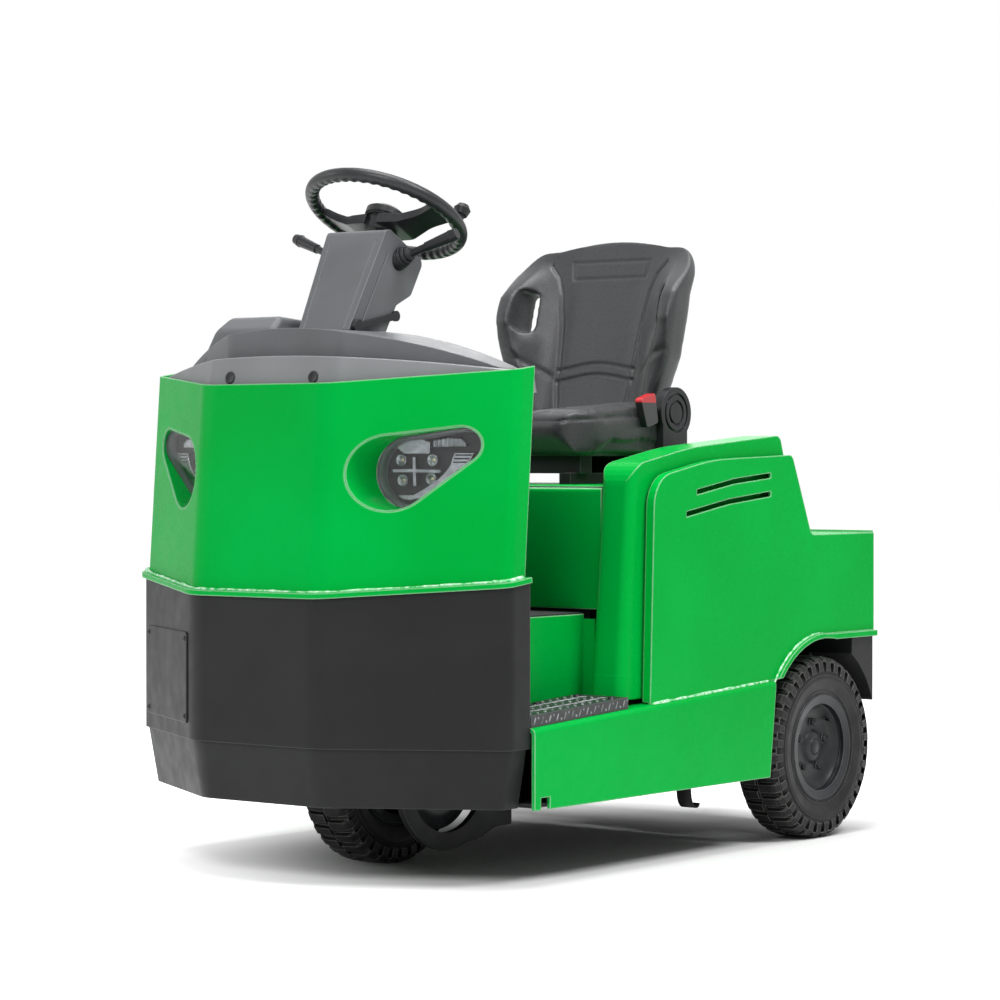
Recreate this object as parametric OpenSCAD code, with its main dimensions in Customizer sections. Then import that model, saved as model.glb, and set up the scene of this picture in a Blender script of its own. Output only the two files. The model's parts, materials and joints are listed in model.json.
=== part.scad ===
// Three-wheel electric tow tractor, in millimetres.
// Built with the ground at z = 0, the front face at y = 0 and the driver's left at +x,
// then moved so that the middle of the box round it is at the origin.

/* [Overall] */
// Width over the side sills
overall_w = 1000; // [900:5:1100]
// Front face to rear panel
body_len = 1560; // [1500:5:1640]
// Underside of the sills
sill_z = 151; // [130:1:175]
// Front wheel centre, behind the front face
front_axle_y = 395; // [385:1:405]
// Rear wheel centre, ahead of the rear panel
rear_hang = 237; // [225:1:250]

/* [Tyres] */
// Diameter over the lugs
tyre_d = 402; // [390:1:410]
// Section width
tyre_w = 112; // [100:1:118]
// Lugs on each shoulder
lug_count = 36; // [24:1:44]
// Lug height
lug_h = 8; // [5:0.5:11]
// Share of the pitch that a lug fills
lug_fill = 0.62; // [0.45:0.01:0.75]
// Bead seat diameter
bead_d = 204; // [190:1:215]
// Rim flange diameter
flange_d = 238; // [228:1:250]
// Wheel bolts
wheel_bolts = 5; // [4:1:6]

/* [Front] */
// Half width of the flat centre face
face_half = 164; // [130:1:200]
// How far the slanted faces run back
slant_y = 197; // [170:1:225]
// Length of the side returns
return_y = 67; // [50:1:85]
// Bend radius beside the centre face
bend_r = 110; // [60:5:150]
// Bend radius at the side returns
edge_r = 34; // [15:1:45]
// Lower edge of the black band
band_z = 272; // [255:1:290]
// Thickness of the black band
band_t = 10; // [6:1:14]
// Underside of the flange at the centre
flange_z = 566; // [545:1:585]
// Rise of the flange towards the rear, degrees
flange_tilt = 6.8; // [4:0.1:9]
// Flange thickness
flange_t = 11; // [8:1:14]
// How far the flange stands out
flange_out = 7; // [4:1:10]
// Top edge of the front panel at the centre
panel_z = 984; // [965:1:1000]
// Rise of the top edge towards the rear, degrees
panel_tilt = 7.6; // [5:0.1:9]
// Backward lean of the front panel, degrees
panel_lean = 4.4; // [3:0.1:6]
// Panel sheet
panel_t = 4; // [3:0.5:6]

/* [Sills and steps] */
// Top of a sill at its front end
sill_top = 312; // [300:1:325]
// Slope of sills and steps, degrees
sill_slope = 3.1; // [2:0.1:3.6]
// Sill sheet
sill_t = 8; // [5:1:10]
// Width of the step plate
step_w = 136; // [110:1:140]
// Folded height of the step plate
step_h = 24; // [15:1:30]
// Rear end of the step
step_end = 597; // [560:1:598]

/* [Platform and hood] */
// Step recess between a side face and the platform
recess_w = 152; // [148:1:170]
// Top of the platform
platform_z = 518; // [505:1:530]
// Rear end of the platform
platform_end = 634; // [620:1:638]
// Top of the seat box
box_z = 785; // [765:1:800]
// Front face of the seat box
box_y = 650; // [645:1:665]
// Width of a hood ridge
ridge_w = 84; // [70:1:90]
// Gap between a ridge and the side face
ridge_gap = 26; // [24:1:40]
// Hood sheet
hood_t = 4; // [3:0.5:5]
// Rear deck height
deck_z = 672; // [655:1:690]
// Wheel arch radius
arch_r = 235; // [228:1:245]
// Height of the hood hinge
hinge_z = 696; // [690:1:705]
// Hinge pin radius
hinge_r = 6; // [4:0.5:8]
// Hinge distance from the centre line
hinge_x = 250; // [150:5:300]

/* [Dash and column] */
// Ledge of the dash above the front panel
dash_rise = 61; // [50:1:75]
// Top of the dash cowl above the front panel
cowl_rise = 118; // [105:1:135]
// Rear edge of the dash
dash_end = 312; // [300:1:330]
// Steering wheel centre, behind the front face
helm_y = 412; // [400:1:425]
// Steering wheel centre height
helm_z = 1349; // [1330:1:1370]
// Lean of the steering column, degrees
helm_tilt = 27; // [22:0.5:34]
// Steering wheel rim radius to the tube's centre
helm_r = 162; // [150:1:180]
// Rim tube radius
helm_tube = 14; // [11:0.5:17]

/* [Seat] */
// Half width of the seat
seat_half = 248; // [225:1:262]
// Top of the cushion at its front
cushion_z = 944; // [930:1:960]
// Top of the seat back
back_z = 1340; // [1300:1:1370]
// Lean of the seat back, degrees
back_lean = 14; // [8:0.5:18]
// How far the wings of the seat back come forward
wing_y = 96; // [70:1:105]
// Grip slot width
slot_w = 47; // [40:1:55]
// Grip slot height
slot_h = 112; // [90:1:120]

/* [Tow coupling] */
// Tow pin radius
pin_r = 12.5; // [10:0.5:16]
// Gap between two coupling plates
jaw_gap = 46; // [36:1:56]
// Coupling plate thickness
jaw_t = 16; // [12:1:20]
// Height of the lowest coupling plate
jaw_z = 262; // [240:1:280]
// How far the coupling stands out behind
jaw_y = 112; // [95:1:130]

/* [Hidden] */
$fn = 48;

half = overall_w / 2;
far = 3000;
skin = half - 10;
plate_half = skin;
rear_axle_y = body_len - rear_hang;
platform_half = half - recess_w;
rail_x = platform_half + 6;
rail_w = 20;
rail_top = 300;
ridge_out = skin - ridge_gap;
ridge_in = ridge_out - ridge_w;
dash_z = panel_z + dash_rise;
cowl_z = panel_z + cowl_rise;
flange_in = 18;
tyre_r = tyre_d / 2;
wheel_x = half - tyre_w / 2 + 3;
tyre_in = wheel_x - tyre_w / 2;
front_end = slant_y + return_y;
sill_start = front_end + 2;
sill_end = rear_axle_y - arch_r + 42;
arch_at = [rear_axle_y + 14, tyre_r + 6];
run_gap = 0.05;
fit_gap = 0.3;
apron_z = sill_z + 4;
tail_z = arch_at.y + arch_r - 4;
bay_y = front_axle_y - tyre_r - 26;
front_edge = -flange_out * cos(flange_tilt) - flange_t * sin(flange_tilt);
jaw_end = body_len + jaw_y;

// Stations behind the seat box keep their share of the run to the rear panel
drawn_box = 650;
drawn_len = 1560;
function run(y) = box_y + (y - drawn_box) * (body_len - box_y) / (drawn_len - drawn_box);

// Place on a slanted face, as a share of the way from the centre face to the side
function across(share) = face_half + share * (plate_half - face_half);

// Hood hinge, start of the rear deck and foot of the hood's rear slope
hinge_y = run(1284);
deck_y = hinge_y + 16;
hood_back = hinge_y - 32;
hood_slope = 26;

mid_y = (front_edge + jaw_end) / 2;

green = [0.0, 0.62, 0.2];
black = [0.12, 0.12, 0.13];
grey = [0.33, 0.34, 0.35];
rubber = [0.07, 0.07, 0.07];
steel = [0.45, 0.46, 0.48];

// Plane vectors and corner arcs
function unit(v) = v / norm(v);
function turn(v, a) = [v.x * cos(a) - v.y * sin(a), v.x * sin(a) + v.y * cos(a)];
function left_of(p, q) = let (d = unit(q - p)) [-d.y, d.x];
function xy(row) = [row[0], row[1]];

// Points of the arc of radius r that rounds corner q between p and s
function corner(p, q, s, r, steps) =
  let (
    a = unit(p - q),
    b = unit(s - q),
    open = acos(a * b) / 2,
    c = q + unit(a + b) * r / sin(open),
    u = q + a * r / tan(open) - c,
    v = q + b * r / tan(open) - c,
    sweep = (cross(u, v) > 0 ? 1 : -1) * (180 - 2 * open)
  )
  [for (i = [0:steps]) c + turn(u, sweep * i / steps)];

// Closed outline from rows of x, y, corner radius
function rounded(rows, steps = 6) =
  let (n = len(rows))
  [for (i = [0:n - 1])
    each rows[i][2] > 0
      ? corner(xy(rows[(i + n - 1) % n]), xy(rows[i]), xy(rows[(i + 1) % n]), rows[i][2], steps)
      : [xy(rows[i])]];

// Open line from rows of x, y, corner radius
function rounded_line(rows, steps = 8) =
  let (n = len(rows))
  [for (i = [0:n - 1])
    each (i > 0 && i < n - 1 && rows[i][2] > 0)
      ? corner(xy(rows[i - 1]), xy(rows[i]), xy(rows[i + 1]), rows[i][2], steps)
      : [xy(rows[i])]];

// Rows moved sideways by d, to the left of the way they run, with radii to suit
function moved_line(rows, d, grow = 0) =
  let (n = len(rows))
  [for (i = [0:n - 1])
    let (
      m = i > 0 ? left_of(xy(rows[i - 1]), xy(rows[i])) : left_of(xy(rows[0]), xy(rows[1])),
      k = i < n - 1 ? left_of(xy(rows[i]), xy(rows[i + 1])) : m,
      p = xy(rows[i]) + (m + k) * d / (1 + m * k)
    )
    [p.x, p.y, rows[i][2] > 0 ? max(rows[i][2] + grow, 3) : 0]];

function moved_loop(rows, d, grow = 0) =
  let (n = len(rows))
  [for (i = [0:n - 1])
    let (
      m = left_of(xy(rows[(i + n - 1) % n]), xy(rows[i])),
      k = left_of(xy(rows[i]), xy(rows[(i + 1) % n])),
      p = xy(rows[i]) + (m + k) * d / (1 + m * k)
    )
    [p.x, p.y, rows[i][2] > 0 ? max(rows[i][2] + grow, 0.5) : 0]];

function backwards(list) = [for (i = [len(list) - 1:-1:0]) list[i]];

// Extrudes a drawing of y and z along x, or one of x and z along y
module along_x(x0, x1) {
  translate([x0, 0, 0]) rotate([90, 0, 90]) linear_extrude(x1 - x0) children();
}

module along_y(y0, y1) {
  translate([0, y1, 0]) rotate([90, 0, 0]) linear_extrude(y1 - y0) children();
}

module both_sides() {
  children();
  mirror([1, 0, 0]) children();
}

module block(x0, x1, y0, y1, z0, z1) {
  translate([x0, y0, z0]) cube([x1 - x0, y1 - y0, z1 - z0]);
}

// Everything above a plane that rises towards the rear
module above(z, tilt) {
  translate([0, 0, z]) rotate([tilt, 0, 0]) translate([-far, -far, 0]) cube([2 * far, 2 * far, far]);
}

module below(z, tilt) {
  translate([0, 0, z]) rotate([tilt, 0, 0]) translate([-far, -far, -far]) cube([2 * far, 2 * far, far]);
}

// Cylinder along y whose top is at z on the centre line and drops by sag at x = at
module crown(z, sag, at) {
  r = (at * at + sag * sag) / (2 * sag);
  translate([0, -front_end, z - r]) rotate([-90, 0, 0]) cylinder(r = r, h = 4 * front_end, $fn = 200);
}

// Front outline in plan, from the left return round to the right one, moved inwards by d
function front_rows(d, end = front_end) = moved_line(
  [
    [plate_half, end, 0],
    [plate_half, slant_y, edge_r],
    [face_half, 0, bend_r],
    [-face_half, 0, bend_r],
    [-plate_half, slant_y, edge_r],
    [-plate_half, end, 0]
  ], -d, -d);

module front_sheet(d, t, end = front_end) {
  polygon(concat(rounded_line(front_rows(d, end)), backwards(rounded_line(front_rows(d + t, end)))));
}

module front_area(d, y) {
  intersection() {
    polygon(concat(rounded_line(front_rows(d)), [[-far, front_end], [-far, far], [far, far], [far, front_end]]));
    translate([-plate_half + d, 0]) square([2 * (plate_half - d), y]);
  }
}

// Solid between two closed outlines with the same number of points
module loft(low, z0, high, z1) {
  n = len(low);
  points = concat([for (p = low) [p.x, p.y, z0]], [for (p = high) [p.x, p.y, z1]]);
  walls = [for (i = [0:n - 1]) each [[i, (i + 1) % n, n + i], [(i + 1) % n, n + (i + 1) % n, n + i]]];
  polyhedron(points, concat(walls, [backwards([for (i = [0:n - 1]) i]), [for (i = [0:n - 1]) n + i]]), convexity = 4);
}

function sill_at(y) = sill_top + (y - sill_start) * tan(sill_slope);

module front_band() {
  color(black) difference() {
    translate([0, 0, band_z]) linear_extrude(flange_z - band_z + 80) front_sheet(0, band_t);
    above(flange_z, flange_tilt);
  }
}

// Lower bumper: sheet, step under the band and inward taper
apron_t = 10;
apron_step = 6;
apron_taper = 20;

module apron_area(d, over) {
  height = band_z - apron_z;
  creep = apron_taper * over / height;
  loft(
    rounded_line(front_rows(apron_step + apron_taper + d + creep)), apron_z - over,
    rounded_line(front_rows(apron_step + d - creep)), band_z + over
  );
}

module lower_bumper() {
  color(black) difference() {
    apron_area(0, 0);
    apron_area(apron_t, 10);
    translate([-far, front_end - 6, 0]) cube(far * 2);
  }
}

module front_flange() {
  color(green) translate([0, 0, flange_z]) rotate([flange_tilt, 0, 0])
    linear_extrude(flange_t) front_sheet(-flange_out, flange_out + flange_in);
}

// The panel's side returns stop short of the band's
panel_back = 14;

module leaning_panel(d, t) {
  intersection() {
    translate([0, 0, flange_z]) rotate([-panel_lean, 0, 0]) translate([0, 0, -120])
      linear_extrude(panel_z - flange_z + 260) front_sheet(d, t, front_end - panel_back);
    above(flange_z + flange_t / cos(flange_tilt), flange_tilt);
    below(panel_z, panel_tilt);
  }
}

// Egg-shaped lamp opening seen from the front: centre x, centre z, radius of each end
lamp_rows = [
  [across(0.3374), panel_z - 172, 76],
  [across(0.6994), panel_z - 118, 38]
];

module egg(grow) {
  a = xy(lamp_rows[0]);
  b = xy(lamp_rows[1]);
  ra = lamp_rows[0][2] + grow;
  rb = lamp_rows[1][2] + grow;
  way = atan2(b.y - a.y, b.x - a.x);
  side = acos((ra - rb) / norm(b - a));
  translate(a) circle(ra);
  translate(b) circle(rb);
  polygon([
    a + ra * [cos(way + side), sin(way + side)],
    a + ra * [cos(way - side), sin(way - side)],
    b + rb * [cos(way - side), sin(way - side)],
    b + rb * [cos(way + side), sin(way + side)]
  ]);
}

module front_panel() {
  color(green) difference() {
    leaning_panel(5, panel_t);
    both_sides() along_y(0, 400) egg(0);
  }
}

// Hatch on the right slanted face: margin at its ends, height of its lower edge above the band's, its own height
hatch_margin = 38;
hatch_low = 32;
hatch_h = 184;
hatch_t = 3.2;

module access_hatch() {
  way = atan2(slant_y, plate_half - face_half);
  length = norm([plate_half - face_half, slant_y]) - 2 * hatch_margin;
  rows = [[0, 0, 8], [length, 0, 8], [length, hatch_h, 8], [0, hatch_h, 8]];
  color(black) mirror([1, 0, 0]) translate([face_half, 0, band_z]) rotate([0, 0, way])
    translate([hatch_margin, -hatch_t - 0.2, hatch_low]) rotate([90, 0, 0]) mirror([0, 0, 1]) linear_extrude(hatch_t)
      polygon(rounded(rows));
}

// The lens is turned against the panel about its outboard end, where the two are flush
lens_turn = 14;
lens_end = across(0.816);

module lens_place() {
  translate([lens_end, slant_y - 2, 0]) rotate([0, 0, lens_turn]) translate([-lens_end, 0, 0]) children();
}

module headlamp_pockets() {
  color(green) both_sides() intersection() {
    difference() {
      along_y(0, 300) egg(-fit_gap);
      along_y(-1, 301) egg(-3);
      lens_place() translate([0, 44, 0]) translate([-far, 0, 0]) cube(far * 2);
    }
    translate([0, 0, flange_z]) rotate([-panel_lean, 0, 0]) translate([0, 0, -50])
      linear_extrude(700) front_area(5.5, far);
  }
}

// Slice of the lamp's bore, from and to distances behind the lens's face
module lamp_slice(y0, y1) {
  both_sides() intersection() {
    along_y(0, 320) egg(-3 - fit_gap);
    lens_place() block(-far, far, y0, y1, 0, far);
  }
}

module headlamp_cores() {
  color(black) lamp_slice(30, 44);
}

module headlamp_lenses() {
  color([0.75, 0.8, 0.85]) lamp_slice(2, 6);
}

module bulkhead() {
  wall = plate_half - flange_in - 1;
  color(black) union() {
    block(-wall, wall, front_end - 12, front_end - 6, platform_z, panel_z - 14);
    both_sides() block(platform_half + 4, wall, front_end - 12, front_end - 6, rail_top, platform_z + 7);
  }
}

// Drop of the dash ledge and of the cowl towards the sides, and where it is measured
dash_sag = 34;
dash_at = plate_half - 20;
cowl_sag = 72;
cowl_at = plate_half - 96;

module dash_fascia() {
  low = concat(rounded_line(front_rows(panel_t + 12)), [[-plate_half + 30, dash_end], [plate_half - 30, dash_end]]);
  high = concat(rounded_line(front_rows(panel_t + 24)), [[-plate_half + 46, dash_end], [plate_half - 46, dash_end]]);
  lean = (panel_z - flange_z) * tan(panel_lean);
  color(grey) intersection() {
    difference() {
      translate([0, lean, 0]) loft(low, panel_z - 14, high, dash_z + 4);
      translate([-far, dash_end, 0]) cube(far * 2);
    }
    crown(dash_z, dash_sag, dash_at);
  }
}

module dash_cowl() {
  lean = (panel_z - flange_z) * tan(panel_lean);
  color(grey) difference() {
    intersection() {
      translate([0, lean, dash_z - 60]) linear_extrude(200) front_area(58, dash_end - lean);
      crown(cowl_z, cowl_sag, cowl_at);
    }
    crown(dash_z + 0.2, dash_sag, dash_at);
  }
}

// Instrument pod ahead of the driver's right hand, above the cowl
pod_rise = 34;

module instrument_pod() {
  top = cowl_z + pod_rise;
  low = dash_z;
  color(grey) difference() {
    intersection() {
      along_x(-400, 0) polygon(rounded([
        [172, low, 0],
        [172, top - 26, 16],
        [206, top, 26],
        [286, top - 6, 10],
        [306, low, 0]
      ]));
      along_y(100, 400) polygon(rounded([
        [138 - plate_half, low, 0],
        [186 - plate_half, top, 26],
        [-110, top, 14],
        [-98, low, 0]
      ]));
    }
    crown(cowl_z + 0.2, cowl_sag, cowl_at);
  }
}

// Steering column frame: z along the shaft, y away from the front, origin at the wheel's centre
module helm() {
  translate([0, helm_y, helm_z]) rotate([-helm_tilt, 0, 0]) children();
}

shroud_top = -72;
shroud_low = -345;
shaft_r = 11;

// Half widths of the shroud at its foot and at its top
shroud_foot_w = 66;
shroud_top_w = 80;

module shroud_sides(grow) {
  along_y(-100, 100) polygon([
    [-shroud_foot_w, shroud_low],
    [shroud_foot_w, shroud_low],
    [shroud_top_w + grow, shroud_top],
    [shroud_top_w + grow, shroud_top + 300 * sign(grow)],
    [-shroud_top_w - grow, shroud_top + 300 * sign(grow)],
    [-shroud_top_w - grow, shroud_top]
  ]);
}

// Panel lines on the front face and on the sides of the shroud
module shroud_grooves() {
  both_sides() {
    face_groove([shroud_foot_w - 15, shroud_low], [shroud_top_w - 20, shroud_top - 30]);
    translate([shroud_foot_w - 6, -40, shroud_low]) rotate([0, 3, 0]) cube([40, 2.4, 230]);
  }
}

// Groove in the front face from p to q, given as x and z
module face_groove(p, q) {
  along_y(-70, -63.5) polygon([p, p + [3, 0], q + [3, 0], q]);
}

module steering_column() {
  color(grey) difference() {
    helm() union() {
      intersection() {
        along_x(-100, 100) polygon(rounded([
          [-66, shroud_low, 0],
          [-66, shroud_top, 14],
          [68, shroud_top - 6, 16],
          [68, -158, 16],
          [38, -198, 14],
          [36, shroud_low, 0]
        ]));
        shroud_sides(0);
      }
      translate([0, 0, shroud_top - 12]) cylinder(r = shaft_r, h = 69);
      translate([0, 0, shroud_top - 12]) cylinder(r = 30, h = 24);
    }
    helm() shroud_grooves();
    crown(cowl_z + 0.2, cowl_sag, cowl_at);
  }
}

// Rings of the rubber boot: distance out, radius, length
boot_rows = [
  [-8, 25, 14],
  [4, 20, 4],
  [7, 23, 7],
  [13, 17, 4],
  [16, 20, 7],
  [22, 12, 4],
  [25, 16, 7],
  [31, 9, 8]
];
// Slope of a stalk and the length of the left and the right one
stalk_out = 126;
stalk_up = 50;
left_stalk = 146;
right_stalk = 168;

module stalk(length) {
  lean = atan2(stalk_out, stalk_up);
  rotate([0, lean, 0]) {
    for (row = boot_rows) translate([0, 0, row[0]]) cylinder(r1 = row[1], r2 = row[1] - 2, h = row[2]);
    cylinder(r = 8, h = length - 60);
    translate([0, 0, length - 76]) cylinder(r1 = 10, r2 = 12.5, h = 60);
    translate([0, 0, length - 17]) cylinder(r1 = 13.5, r2 = 11, h = 17);
  }
}

module column_stalks() {
  color(black) difference() {
    helm() union() {
      translate([shroud_top_w - 6, 0, -110]) stalk(left_stalk);
      mirror([1, 0, 0]) translate([shroud_top_w - 6, 0, -110]) stalk(right_stalk);
    }
    helm() shroud_sides(fit_gap);
  }
}

// Tilt lever at the foot of the column: y and z of its pivot and of its end
lever_rows = [
  [-50, -296],
  [44, -220]
];

module tilt_lever() {
  from = lever_rows[0];
  to = lever_rows[1];
  way = atan2(to.y - from.y, to.x - from.x);
  length = norm(to - from);
  lift = shroud_foot_w + 4;
  color(black) difference() {
    helm() union() {
      along_x(lift, lift + 9) translate(from) rotate(way) union() {
        circle(15);
        translate([0, -7]) square([length, 14]);
        translate([length, 0]) circle(11);
      }
      along_x(lift - 16, lift + 1) translate(from) circle(9);
    }
    helm() shroud_sides(fit_gap);
    crown(cowl_z + 0.2, cowl_sag, cowl_at);
  }
}

module platform() {
  color(green) difference() {
    block(-platform_half, platform_half, bay_y, platform_end, sill_z + 12, platform_z);
    block(-platform_half + 6, platform_half - 6, bay_y + 6, platform_end - 6, 0, platform_z - 8);
  }
}

module floor_mat() {
  color(rubber) block(-platform_half + 3, platform_half - 3, front_end - 2, platform_end - 2, platform_z, platform_z + 3);
}

module step_frame() {
  translate([0, sill_start, sill_top]) rotate([sill_slope, 0, 0]) children();
}

module steps() {
  color(black) both_sides() step_frame() difference() {
    block(skin - step_w, skin - 2, 4, step_end - sill_start, 0, step_h);
    block(skin - step_w + 5, skin - 7, 9, step_end - sill_start - 5, -1, step_h - 5);
  }
}

// Pedal rows: x, width, height
pedal_rows = [
  [-190, 70, 150],
  [-60, 90, 80]
];

module pedals() {
  color(black) for (row = pedal_rows)
    intersection() {
      translate([row[0], front_end + 130, platform_z + 3]) rotate([48, 0, 0])
        translate([-row[1] / 2, -14, -40]) cube([row[1], 14, row[2] + 40]);
      block(-far, far, -far, far, platform_z + 3, far);
    }
}

module sill() {
  rows = [
    [half, -260, 0],
    [half, 0, 12],
    [half - 62, 0, 0]
  ];
  inner = moved_line(rows, sill_t, -sill_t);
  intersection() {
    step_frame() along_y(-40, body_len) polygon(concat(rounded_line(rows), backwards(rounded_line(inner))));
    along_x(0, half + 1) difference() {
      polygon([
        [sill_start, sill_z],
        [sill_end - 22, sill_z],
        [sill_end + 6, sill_at(sill_end) + 20],
        [sill_start, sill_at(sill_end) + 20]
      ]);
      translate([front_end + 22, sill_z - 1]) square([30, 25]);
    }
  }
}

module left_sill() {
  color(green) sill();
}

module right_sill() {
  color(green) mirror([1, 0, 0]) sill();
}

// Depth of the cover's folded rim
rim_in = ridge_gap - 6;

// Cover rows: y, z, corner radius, up the front edge, along the top, down to the deck and round the arch
cover_front = run(672);
cover_rows = [
  [cover_front, sill_at(cover_front), 0],
  [cover_front + 16, 800, 72],
  [run(905), 838, 900],
  [deck_y - 88, 848, 18],
  [deck_y - 10, deck_z, 18],
  [body_len - 6, deck_z, 0],
  [body_len - 6, tail_z, 0],
  [arch_at.x, tail_z, 0],
  [arch_at.x, sill_at(arch_at.x), 0]
];

// Slits: y from, z from, y to, z to, and their height and bow
slit_rows = [
  [run(842), 764, run(1126), 798],
  [run(803), 718, run(1126), 758]
];
slit_tall = 11;
slit_bow = 5;

module slit(row) {
  from = [row[0], row[1]];
  to = [row[2], row[3]];
  mid = (from + to) / 2 + [0, slit_bow];
  rise = [0, slit_tall];
  polygon([from, mid, to, to + rise, mid + rise, from + rise]);
}

module side_cover() {
  rim = moved_loop(cover_rows, -5, -5);
  difference() {
    union() {
      along_x(skin - 6, skin) difference() {
        polygon(rounded(cover_rows));
        for (row = slit_rows) slit(row);
      }
      intersection() {
        along_x(skin - rim_in, skin) difference() {
          polygon(rounded(cover_rows));
          polygon(rounded(rim));
        }
        union() {
          block(0, half, cover_front - 20, deck_y - 14, tail_z, 900);
          block(0, half, cover_front - 20, cover_front + 40, sill_at(cover_front) + 4, tail_z + 1);
        }
      }
      along_x(skin - 28, half) union() {
        intersection() {
          translate(arch_at) circle(arch_r + 11);
          polygon([
            [sill_end - 60, sill_at(sill_end - 60) + 2],
            [arch_at.x, sill_at(arch_at.x) + 2],
            [arch_at.x, tail_z + 60],
            [sill_end - 60, tail_z + 60]
          ]);
        }
        translate([arch_at.x - 1, tail_z]) square([body_len - 5 - arch_at.x, 13]);
      }
    }
    along_x(-10, half + 10) translate(arch_at) circle(arch_r);
  }
}

module left_side_cover() {
  color(green) side_cover();
}

module right_side_cover() {
  color(green) mirror([1, 0, 0]) side_cover();
}

module rear_body() {
  inner = skin - 6;
  color(green) union() {
    block(-inner, inner, deck_y, body_len - 6, deck_z - 8, deck_z);
    block(-inner, inner, body_len - 6, body_len, tail_z, deck_z + 5);
    block(-rail_x + 14, rail_x - 14, deck_y - 2, deck_y + 4, tail_z - 2, deck_z);
    both_sides() {
      for (x = [hinge_x - 30, hinge_x + 22]) along_x(x, x + 8) union() {
        translate([hinge_y, hinge_z]) circle(12);
        translate([hinge_y - 12, deck_z - 30]) square([28, hinge_z - deck_z + 30]);
      }
      along_x(hinge_x - 28, hinge_x + 28) translate([hinge_y, hinge_z]) circle(hinge_r);
    }
  }
}

module rear_bumper() {
  arch = arch_r - 4;
  color(black) difference() {
    block(-skin + 2, skin - 2, body_len - 96, body_len - 8, 214, tail_z - 0.5);
    both_sides() along_x(tyre_in - 16, half) translate(arch_at) circle(arch);
    block(-rail_x + 24, rail_x - 24, body_len - 120, body_len - 24, 200, tail_z - 12);
  }
}

module tail_lamps() {
  color([0.55, 0.05, 0.05]) both_sides()
    translate([half - 90, body_len, deck_z - 82]) rotate([-90, 0, 0]) cylinder(r = 42, h = 14);
}

module chassis_frame() {
  color(black) union() {
    difference() {
      block(-half + sill_t, half - sill_t, sill_start + 4, rear_axle_y - arch_r - 8, sill_z + 4, sill_z + 12);
      translate([0, front_axle_y, 0]) cylinder(r = tyre_r + 40, h = 300);
    }
    difference() {
      both_sides() block(rail_x, rail_x + rail_w, bay_y + 14, body_len - 96, sill_z + 12, rail_top);
      along_x(-half, half) translate([rear_axle_y, tyre_r]) circle(axle_r + fit_gap);
    }
    block(-rail_x, rail_x, platform_end + 2, platform_end + 12, sill_z + 12, rail_top);
    block(-rail_x, rail_x, rear_axle_y + 99, rear_axle_y + 109, 240, rail_top);
    translate([0, 0, band_z + 6]) linear_extrude(8) front_area(band_t + 0.6, bay_y);
    both_sides() block(rail_x, rail_x + rail_w, bay_y - 26, bay_y + 20, band_z + 6, rail_top);
  }
}

module battery_block() {
  side = platform_half - 16;
  color(grey) block(-side, side, box_y + 26, rear_axle_y - 143, sill_z + 12, hinge_z - 16);
}

hub_x = wheel_x - 30;
axle_r = 32;

module rear_axle() {
  color(black) union() {
    along_x(-hub_x + 46, hub_x - 46) translate([rear_axle_y, tyre_r]) circle(axle_r);
    both_sides() along_x(rail_x + rail_w + 1, hub_x - 8) translate([rear_axle_y, tyre_r]) circle(52);
    both_sides() along_x(hub_x - 47, hub_x - 8) translate([rear_axle_y, tyre_r]) circle(axle_r);
    both_sides() along_x(hub_x - 9, hub_x + 20) translate([rear_axle_y, tyre_r]) circle(22);
    along_x(-110, 60) translate([rear_axle_y, tyre_r]) circle(92);
    along_x(59, 250) translate([rear_axle_y - 40, tyre_r + 60]) circle(68);
  }
}

bearing_z = tyre_d + 32;

module steer_bearing() {
  color(steel) translate([0, front_axle_y, 0]) difference() {
    translate([0, 0, bearing_z + fit_gap]) cylinder(r = 92, h = platform_z - 8 - bearing_z - fit_gap);
    translate([0, 0, bearing_z - 1]) cylinder(r = 25 + run_gap, h = 62);
  }
}

// Steering fork: outer faces of its right and left plate, plate thickness, ring radii
fork_in = 82;
fork_out = 182;
fork_t = 14;
fork_ring = 162;
fork_hole = 126;

// Fork plate: ring open up to the height top, upright and hub web, cut to the half width wide above the chassis floor
module fork_plate(wide, top) {
  difference() {
    union() {
      intersection() {
        translate([0, tyre_r]) circle(fork_ring);
        union() {
          translate([-far, 0]) square([2 * far, sill_z - 6]);
          translate([-wide, 0]) square([2 * wide, far]);
        }
      }
      translate([-62, tyre_r]) square([124, tyre_r + 28]);
      children();
    }
    difference() {
      intersection() {
        translate([0, tyre_r]) circle(fork_hole);
        translate([-far, 0]) square([2 * far, top]);
      }
      translate([-48, tyre_r]) square([96, 140]);
      translate([0, tyre_r]) circle(50);
    }
  }
}

module steer_fork() {
  color(black) translate([0, front_axle_y, 0]) difference() {
    union() {
      block(-fork_in, fork_out, -70, 70, tyre_d + 12, bearing_z);
      translate([0, 0, bearing_z - 1]) cylinder(r = 25, h = 56);
      along_x(-fork_in, fork_t - fork_in) fork_plate(fork_ring + 2, far);
      along_x(fork_out - fork_t, fork_out) fork_plate(104, sill_z - 21)
        polygon(rounded([[36, 46, 0], [96, 52, 60], [148, 72, 60], [209, 74, 4], [209, 118, 4], [84, 118, 0]]));
    }
    along_x(-fork_in - 10, fork_out + 10) translate([0, tyre_r]) circle(15 + run_gap);
  }
}

module front_axle() {
  color(steel) along_x(-fork_in - 8, fork_out + 8) translate([front_axle_y, tyre_r]) circle(15);
}

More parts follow.
